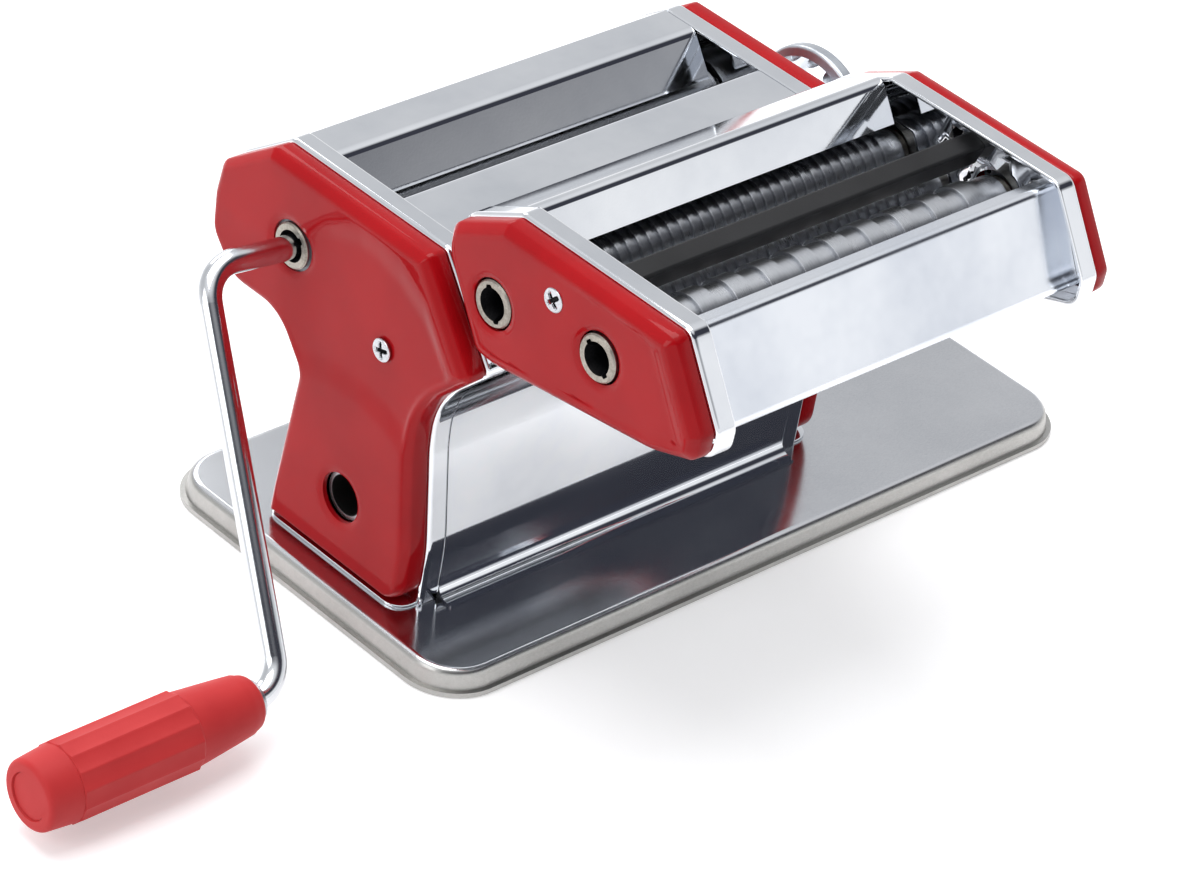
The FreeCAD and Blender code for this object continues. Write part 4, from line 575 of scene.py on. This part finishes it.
# chrome side frames; their lips turn in from the face and are left out over the open stretch
frameShape = {
    "corners": [(-41, 8, 0.3), *coverShape["corners"][1:-1], (20.8, 8, 0.3)], "lip": 69.5, "face": 76.0,
    "sheet": 1.2, "bend": 1.3, "open": (-41.5, 21.5, 8.15), "spacing": 6.0, "floor": 8.0,
    "holes": [(20, 100, 9.05), (-11.3, 31.3, 7.75), (-46, 97, 2.1), (44, 96, 2.1), (-32, 30, 2.1),
              (12, 26, 2.1)],
    "slots": [(-16.7, 1.3, 92.9, 107.1, 2.0), (-12.2, -3.2, 79.2, 85.8, 3.2)],
    "foot": [(74.8, -40, 0.3), (84, -40, 6), (84, 20, 6), (74.8, 20, 0.3)], "footLow": 8.0, "footSheet": 1.0,
}
cutterFrameShape = {
    "corners": cutterShape["corners"], "lip": 67.7, "face": 74.2, "sheet": 1.2, "bend": 1.3,
    "open": (-134, -66, 112.5), "spacing": 6.0, "tongue": (67.7, 68.9, -46, -38, 104.3, 124),
    "holes": [(-59.8, 123.7, 9.1), (-101.3, 129.5, 9.1), (-76.62, 120.12, 6.1), (-116.63, 121.69, 6.1),
              (-115, 137.5, 1.6), (-47, 134, 1.6), (-82.7, 137.9, 2.1)],
}


def slotRing(low, high, bottom, top, radius):
    corners = [(low, bottom), (high, bottom), (high, top), (low, top)]
    return ringPoints([(*corner, radius) for corner in corners], 0, 6)


def roundedPlate(corners, low, high, soft, swap, spacing=8.0):
    # A thin plate: its outline carried up past two softened edges, then both faces filled. The swap turns
    # a ring and its level into points.
    lines = [(soft, 0.0), (soft * 0.3, soft * 0.3), (0.0, soft), (0.0, high - low - soft),
             (soft * 0.3, high - low - soft * 0.3), (soft, high - low)]
    rings = [ringPoints(corners, inset, 6) for inset, rise in lines]
    rows = np.concatenate([swap(ring, low + rise) for ring, (inset, rise) in zip(rings, lines)])
    patches = [(rows, gridFaces(len(lines), len(rings[0])))]
    for ring, level in ((rings[0], low), (rings[-1], high)):
        spots, faces = filledFace(ring, [], spacing)
        patches.append((swap(spots, level), faces))
    return patches


def lippedFrame(name, look, side, holes, slots, body, node):
    # Lip, bend and plate: the outline runs straight across the lip, round the bend, then inward on the plate.
    bend, face = look["bend"], look["face"]
    quarter = np.linspace(0, np.pi / 2, 7)
    lines = [(0.0, look["lip"]), (0.0, look["lip"] + 0.4), (0.0, face - bend - 0.4)]
    lines += [(bend * (1 - np.cos(turn)), face - bend + bend * np.sin(turn)) for turn in quarter]
    lines.append((bend + 0.25, face))
    rings = [ringPoints(look["corners"], inset, 8, 6) for inset, out in lines]
    if "floor" in look:
        for ring, (inset, out) in zip(rings, lines):
            ring[:, 1] = np.where(ring[:, 1] < look["floor"] + inset + 0.2, look["floor"], ring[:, 1])
    rows = np.concatenate([np.column_stack([np.full(len(ring), side * out), ring])
                           for ring, (inset, out) in zip(rings, lines)])
    quads = gridFaces(len(lines), len(rings[0]))
    low, high, under = look["open"]
    middle = rows[quads].mean(1)
    gone = (middle[:, 2] < under) & (middle[:, 1] > low) & (middle[:, 1] < high)
    gone &= np.abs(middle[:, 0]) < face - (0.5 if "floor" not in look else 0)
    cuts = [circlePoints(*hole, 40) for hole in holes] + [slotRing(*gap) for gap in slots]
    spots, faces = filledFace(rings[-1], cuts, look["spacing"])
    plate = np.column_stack([np.full(len(spots), side * face), spots])
    shaped(name, [(rows, quads[~gone]), (plate, faces)], "chrome", body, [node], facing=(side, 0, 0),
           wall=look["sheet"])


def buildFrames():
    for side, word in ((-1, "left"), (1, "right")):
        def standing(ring, level):
            return np.column_stack([np.full(len(ring), side * level), ring])

        def lying(ring, level):
            return np.column_stack([side * ring[:, 0], ring[:, 1], np.full(len(ring), level)])

        look = frameShape
        holes = [*look["holes"], coverShape["screw"] if side < 0 else coverShape["farScrew"]]
        lippedFrame(f"sideFrame{word.title()}", look, side, holes, look["slots"], "machine",
                    f"side_frame_{word}")
        foot = roundedPlate(look["foot"], look["footLow"], look["footLow"] + look["footSheet"], 0.3, lying)
        shaped(f"frameFoot{word.title()}", foot, "chrome", "machine")
        look = cutterFrameShape
        lippedFrame(f"cutterFrame{word.title()}", look, side, look["holes"], [], "cutter",
                    f"cutter_frame_{word}")
        near, far, back, front, low, high = look["tongue"]
        corners = [(back, low, 1.5), (front, low, 1.5), (front, high, 1), (back, high, 1)]
        tongue = roundedPlate(corners, near, far, 0.25, standing)
        shaped(f"cutterTongue{word.title()}", tongue, "chrome", "cutter")


# a cross-headed screw: its rim as shares of the head's radius and height, from the dome down
screwShape = {
    "radius": 3.6, "height": 0.8, "shank": 2.0, "length": 6.0, "sunk": 0.55, "hollow": 0.28,
    "armLong": 3.0, "armWide": 0.62, "recess": 1.1, "pitLine": 0.42,
    "rim": [(0.97, 0.62), (0.995, 0.5), (1.0, 0.35), (1.0, 0.0)],
}


def crossScrew(place, side, turn):
    # Polar rows from the middle of the head out over its rim, under it and down the shank. The recess is
    # the deeper of two crossed slots with sloping walls.
    look = screwShape
    angle = np.linspace(0, 2 * np.pi, 96, endpoint=False)[None, :]
    top = np.linspace(0, 1, 30)[:, None] ** 0.8 * 0.93 * look["radius"]
    u, v = top * np.cos(angle + turn), top * np.sin(angle + turn)
    slots = []
    for long, wide in ((np.abs(u), np.abs(v)), (np.abs(v), np.abs(u))):
        slots.append((1 - smoothStep(wide, look["armWide"] * 0.55, look["armWide"] * 1.25))
                     * (1 - smoothStep(long, look["armLong"] * 0.55, look["armLong"])))
    pit = np.maximum(*slots)
    share = top / look["radius"]
    dome = look["height"] * (1 - look["hollow"] * share ** 2) + 0 * angle
    heights = [dome - look["recess"] * pit]
    radii = [top + 0 * angle]
    below = [(look["radius"] * wide, look["height"] * high) for wide, high in look["rim"]]
    below += [(look["shank"], 0.0), (look["shank"], -look["length"]), (0.0, -look["length"])]
    for radius, height in below:
        radii.append(np.full_like(angle, radius))
        heights.append(np.full_like(angle, height))
    radii, heights = np.concatenate(radii), np.concatenate(heights)
    face, across, height = place
    points = np.stack([side * (face - look["sunk"] + heights), across + radii * np.cos(angle),
                       height + radii * np.sin(angle)], 2).reshape(-1, 3)
    quads = gridFaces(len(radii), angle.shape[1])
    # the faces deep in the cross recess take the near-black finish: painted shade in the recess
    depth = np.concatenate([pit.ravel(), np.zeros(len(points) - pit.size)])
    deep = depth[quads].mean(1) > look["pitLine"]
    return [(points, quads[~deep]), (points, quads[deep], "bore_steel")]


def buildScrews():
    near, far = coverShape["screw"], coverShape["farScrew"]
    face = coverShape["root"] + coverShape["deep"]
    heads = crossScrew((face, *near[:2]), -1, 0.25) + crossScrew((face, *far[:2]), 1, 0.9)
    shaped("coverScrewHeads", heads, "bright_steel", "machine", ["cover_screws"])
    spot = cutterShape["screw"]
    face = cutterShape["root"] + cutterShape["deep"]
    heads = crossScrew((face, *spot[:2]), -1, 0.75) + crossScrew((face, *spot[:2]), 1, 0.3)
    shaped("cutterScrewHeads", heads, "bright_steel", "cutter", ["cutter_cover_screws"])


# the crank's socket and its two notches, alike in each driven roller's left end
rollerShape = {
    "bore": 3.8, "deep": 22.0, "mouth": 4.9, "mouthDeep": 2.4, "chamfer": 0.45,
    "notch": 5.7, "notchWide": 2.1, "notchDeep": 5.8,
}
mainRoller = {
    "axis": (20, 100), "turn": -42, "end": -84.2, "journal": 7.1, "shape": [(-73.5, 13.0), (73.5, 7.1)],
    "far": 79.0,
}
cutterRoller = {
    "core": 7.9, "tip": 9.0, "half": 71.5, "journal": 7.1, "farJournal": 4.0, "end": -81.2, "far": 79.5,
}
cutterRows = {
    "narrow": {"axis": (-59.8, 123.7), "turn": 64, "disc": 1.9, "pitch": 4.0, "count": 33},
    "wide": {"axis": (-101.3, 129.5), "turn": 43, "disc": 6.4, "pitch": 13.0, "count": 10},
}


def socketRoller(name, look, finish, body, node):
    # Radius over angle and length. The outside steps along the listed stations; the bore's radius at an
    # angle is the bore's own or, within the notches' half width, as far out as their ends.
    socket = rollerShape
    soft = socket["chamfer"]
    stations = [(look["end"], look["journal"])] + look["shape"] + [(look["far"], 0.0)]
    place = [look["end"], look["end"], look["end"] + soft]
    radius = [socket["mouth"], look["journal"] - soft, look["journal"]]
    for (start, size), (end, following) in zip(stations, stations[1:]):
        step = min(0.12, (end - start) / 5)
        place += [end - step, end, end]
        radius += [size, size - step, following]
        if following > size:
            place[-3:] = [end, end, end + step]
            radius[-3:] = [size, following - step, following]
    angle = np.linspace(0, 2 * np.pi, 96, endpoint=False)
    place, radius = np.array(place)[:, None], np.array(radius)[:, None]
    outside = np.stack(np.broadcast_arrays(place, radius + 0 * angle), 2)
    way = np.abs(np.sin(angle - np.radians(look["turn"])))
    notch = np.clip(socket["notchWide"] / 2 / np.maximum(way, 1e-3), 0, socket["notch"])
    bore = np.maximum(socket["bore"], notch)
    mouth = np.maximum(socket["mouth"], notch)
    plain = socket["bore"] + 0 * angle
    inner = [(0.0, mouth), (0.25, mouth - 0.12 * (mouth > socket["mouth"])), (socket["mouthDeep"], bore),
             (socket["notchDeep"], bore), (socket["notchDeep"], plain), (socket["deep"], plain),
             (socket["deep"], 0 * angle)]
    inside = np.stack([np.stack([look["end"] + deep + 0 * angle, size], 1) for deep, size in inner])
    outside[0] = inside[0]
    across, height = look["axis"]
    patches = []
    # the bore's faces take the near-black finish: painted shade inside the socket
    for rows, kind in ((outside[:3], "hub_steel"), (outside[2:], finish), (inside, "bore_steel")):
        along, size = rows[..., 0], rows[..., 1]
        spots = np.stack([along, across + size * np.cos(angle), height + size * np.sin(angle)], 2)
        patches.append((spots.reshape(-1, 3), gridFaces(len(rows), len(angle)), kind))
    shaped(name, patches, finish, body, [node])


def discRow(look):
    # steps up to a disc and down to the core again, along a row of discs about the middle
    first = -((look["count"] - 1) * look["pitch"] + look["disc"]) / 2
    stations = []
    for start in (first + look["pitch"] * np.arange(look["count"])).tolist():
        stations += [(start, cutterRoller["tip"]), (start + look["disc"], cutterRoller["core"])]
    return stations


def buildRollers():
    socketRoller("driveRoller", mainRoller, "roller_steel", "drive", "drive_roller")
    half, core, thin = cutterRoller["half"], cutterRoller["core"], cutterRoller["farJournal"]
    for word, row in cutterRows.items():
        look = {**cutterRoller, **row, "shape": [(-half, core), *discRow(row), (half, thin)]}
        socketRoller(f"{word}DriveRoller", look, "roller_steel", f"{word}_drive", f"{word}_drive_roller")


gripShape = {
    "start": 151.5, "end": 228.0, "bore": 3.8, "nose": 8.3, "cone": 11.2, "coneEnd": 25.0, "barrel": 12.0,
    "scoop": 0.5, "flutes": 14, "turn": 0.35, "collarStart": 66.0, "collar": 11.45, "tip": 10.5, "rim": 1.7,
    "well": 6.9, "wellDeep": 0.8, "soft": 2.6, "arm": 114, "lean": math.radians(42),
}


def buildGrip():
    # Radius over angle and length: a cone from the nose, then a barrel whose hollow flutes meet in ridges,
    # then a plain collar that narrows to a rounded end with a round well in it.
    look = gripShape
    long = look["end"] - look["start"]
    soft, rim, coneEnd, collarStart = look["soft"], look["rim"], look["coneEnd"], look["collarStart"]
    quarter = np.linspace(0, np.pi / 2, 8)
    place = np.concatenate([
        [0, 0], soft * (1 - np.cos(quarter)), np.linspace(4, coneEnd - 0.8, 14),
        coneEnd + np.array([-0.4, 0, 0.3, 0.7, 1.2, 2.0, 3.0]),
        np.linspace(coneEnd + 4, collarStart - 1.6, 24),
        collarStart + np.array([-0.9, -0.45, -0.1, 0.1, 0.35, 0.8]),
        np.linspace(collarStart + 1.4, long - rim - 0.2, 8), long - rim * (1 - np.sin(quarter)),
        [long, long - look["wellDeep"], long - look["wellDeep"]]])
    plain = np.interp(place, [0, 4, 9, coneEnd, collarStart, collarStart + 0.1, long],
                      [look["nose"], 8.95, 9.55, look["cone"], look["cone"], look["collar"], look["tip"]])
    plain[:2] = [look["bore"], look["nose"] - soft]
    plain[2:10] = look["nose"] - soft * (1 - np.sin(quarter))
    last = len(place) - 3
    plain[last - 8:last] = look["tip"] + 0.15 - rim * (1 - np.cos(quarter))
    plain[last:] = [look["well"] + 0.25, look["well"], 0.0]
    angle = np.linspace(0, 2 * np.pi, 240, endpoint=False)
    phase = np.mod((angle + look["turn"]) * look["flutes"] / (2 * np.pi), 1) * 2 - 1
    ridge = look["barrel"] - look["scoop"] * (1 - np.abs(phase) ** 2.2)[None, :]
    place, plain = place[:, None], plain[:, None]
    barrel = smoothStep(place, coneEnd - 0.4, coneEnd + 0.4)
    barrel = barrel * (1 - smoothStep(place, collarStart - 0.5, collarStart))
    radius = plain * (1 - barrel) + ridge * barrel
    shoulder = (place > coneEnd - 2) & (place < coneEnd + 4)
    radius = np.where(shoulder, np.maximum(radius, np.minimum(plain, look["cone"])), radius)
    x = -(look["start"] + place) + 0 * angle
    hubAcross, hubHeight = mainRoller["axis"]
    across = hubAcross - look["arm"] * math.sin(look["lean"])
    height = hubHeight - look["arm"] * math.cos(look["lean"])
    points = np.stack([x, across + radius * np.cos(angle), height + radius * np.sin(angle)], 2).reshape(-1, 3)
    shaped("crankGrip", [(points, gridFaces(len(place), len(angle)))], "grip_plastic", "grip", ["grip"],
           facing=(-1, 0, 0), sharp=28)


buildCovers()
buildFrames()
buildScrews()
buildRollers()
buildGrip()


studio = {
    "floor": 3.2, "floorTone": (0.86, 0.86, 0.87, 1), "floorLift": 0.36, "camera": (-898.70, -871.76, 856.11),
    "turn": (-46.895, 33.772, -8.303), "lens": 150.604, "white": 1.0,
}
# what metal mirrors: the room's tones from below to above, with a dark belt in front near its horizon
room = {
    "tones": [(0.0, (0.90, 0.90, 0.91, 1)), (0.5, (1.0, 1.0, 1.0, 1)), (0.56, (0.92, 0.93, 0.95, 1)),
              (0.62, (0.70, 0.71, 0.73, 1)), (0.80, (0.64, 0.65, 0.67, 1)), (0.93, (0.85, 0.86, 0.88, 1)),
              (1.0, (1.0, 1.0, 1.0, 1))],
    "dark": (0.045, 0.047, 0.062, 1), "low": (0.97, 0.98, 1.0, 1), "fill": (0.74, 0.74, 0.7474, 1),
}


def studioWorld():
    # White for the camera. Metal sees the room with its belt, and all else takes a softer light from it that
    # is weaker in front.
    world = bpy.data.worlds.new("studioRoom")
    bpy.context.scene.world = world
    paint = Paint(world)
    path = paint.tree.nodes.new("ShaderNodeLightPath")
    seen = Wire(paint, path.outputs["Is Camera Ray"])
    mirrored = Wire(paint, path.outputs["Is Glossy Ray"]) + Wire(paint, path.outputs["Is Transmission Ray"])
    front, height = paint.split(paint.node("ShaderNodeTexCoord", out="Generated"))[1:]
    tones = paint.node("ShaderNodeValToRGB", {"stops": room["tones"]}, {0: height * 0.5 + 0.5})
    belt = paint.range(height, 0.34, 0.46, 0, 1) * paint.range(height, 0.72, 0.9, 1, 0)
    shade = belt * paint.range(front, -0.12, -0.34, 0, 1)
    lift = paint.range(front, -0.45, -0.68, 0, 1) * paint.range(height, 0.36, 0.3, 0, 1)
    tones = paint.mixed(lift, tones, room["low"])
    tones = paint.mixed(shade, tones, room["dark"])
    behind = paint.range(front, -0.9, 0.5, 0.42, 1.0)
    soft = paint.mixed(behind, (0, 0, 0, 1), room["fill"])
    plain = paint.mixed(mirrored, soft, tones)
    colour = paint.mixed(seen, plain, (1, 1, 1, 1))
    paint.finish(paint.node("ShaderNodeBackground", {}, {"Color": colour, "Strength": studio["white"]}))


def studioFloor():
    # a pale sheet whose own faint glow, for the eye and for mirrors, brings it up to white
    half = studio["floor"]
    mesh = bpy.data.meshes.new("tableTop")
    corners = [(-half, -half, 0), (half, -half, 0), (half, half, 0), (-half, half, 0)]
    mesh.from_pydata(corners, [], [(0, 1, 2, 3)])
    top = bpy.data.objects.new("tableTop", mesh)
    bpy.context.scene.collection.objects.link(top)
    paint = Paint(bpy.data.materials.new("paleTable"))
    path = paint.tree.nodes.new("ShaderNodeLightPath")
    seen = Wire(paint, path.outputs["Is Camera Ray"]) + Wire(paint, path.outputs["Is Glossy Ray"])
    seen = seen + Wire(paint, path.outputs["Is Transmission Ray"])
    grain = paint.noise(paint.place(), 180, 3)
    lift = seen * studio["floorLift"]
    mesh.materials.append(paint.finish(paint.surface({
        "Base Color": studio["floorTone"], "Roughness": 0.9, "Specular IOR Level": 0.1,
        "Emission Color": (1, 1, 1, 1), "Emission Strength": lift,
        "Normal": paint.bump(grain, 0.00005, 0.2)})))


lamps = {
    "overhead": {"spot": (0.0, 0.25, 1.7), "size": (1.6, 1.3), "power": 22, "aim": (0, -0.02, 0.06)},
    "left": {"spot": (-1.75, 0.1, 1.0), "size": (1.2, 1.1), "power": 9, "aim": (0, 0, 0.06)},
    "rear": {"spot": (0.5, 1.6, 1.1), "size": (1.1, 0.8), "power": 7, "aim": (0, 0, 0.06)},
}


def studioLamps():
    for name, look in lamps.items():
        data = bpy.data.lights.new(name, "AREA")
        data.shape = "RECTANGLE"
        data.size, data.size_y = look["size"]
        data.energy = look["power"]
        lamp = bpy.data.objects.new(name, data)
        bpy.context.scene.collection.objects.link(lamp)
        spot = np.array(look["spot"])
        back = spot - np.array(look["aim"])
        back /= np.linalg.norm(back)
        side = np.cross((0.0, 1.0, 0.0) if abs(back[2]) > 0.95 else (0.0, 0.0, 1.0), back)
        side /= np.linalg.norm(side)
        axes = np.column_stack([side, np.cross(back, side), back])
        lamp.matrix_world = Matrix(axes.tolist()).to_4x4()
        lamp.location = spot.tolist()


def studioCamera():
    # azimuth, elevation and roll give the three axes of the lens
    azimuth, elevation, roll = np.radians(studio["turn"])
    level = np.cos(elevation)
    back = np.array([np.sin(azimuth) * level, -np.cos(azimuth) * level, np.sin(elevation)])
    right = np.cross(-back, (0, 0, 1))
    right /= np.linalg.norm(right)
    down = np.cross(-back, right)
    across = np.cos(roll) * right + np.sin(roll) * down
    below = np.cos(roll) * down - np.sin(roll) * right
    data = bpy.data.cameras.new("studioCamera")
    data.sensor_width = 36
    data.lens = studio["lens"]
    data.clip_start = 0.05
    data.clip_end = 20
    camera = bpy.data.objects.new("studioCamera", data)
    bpy.context.scene.collection.objects.link(camera)
    camera.matrix_world = Matrix(np.column_stack([across, -below, back]).tolist()).to_4x4()
    camera.location = [place / 1000 for place in studio["camera"]]
    bpy.context.scene.camera = camera


studioWorld()
studioFloor()
studioLamps()
studioCamera()
bpy.context.scene.view_settings.view_transform = "Standard"
print("studio ready")
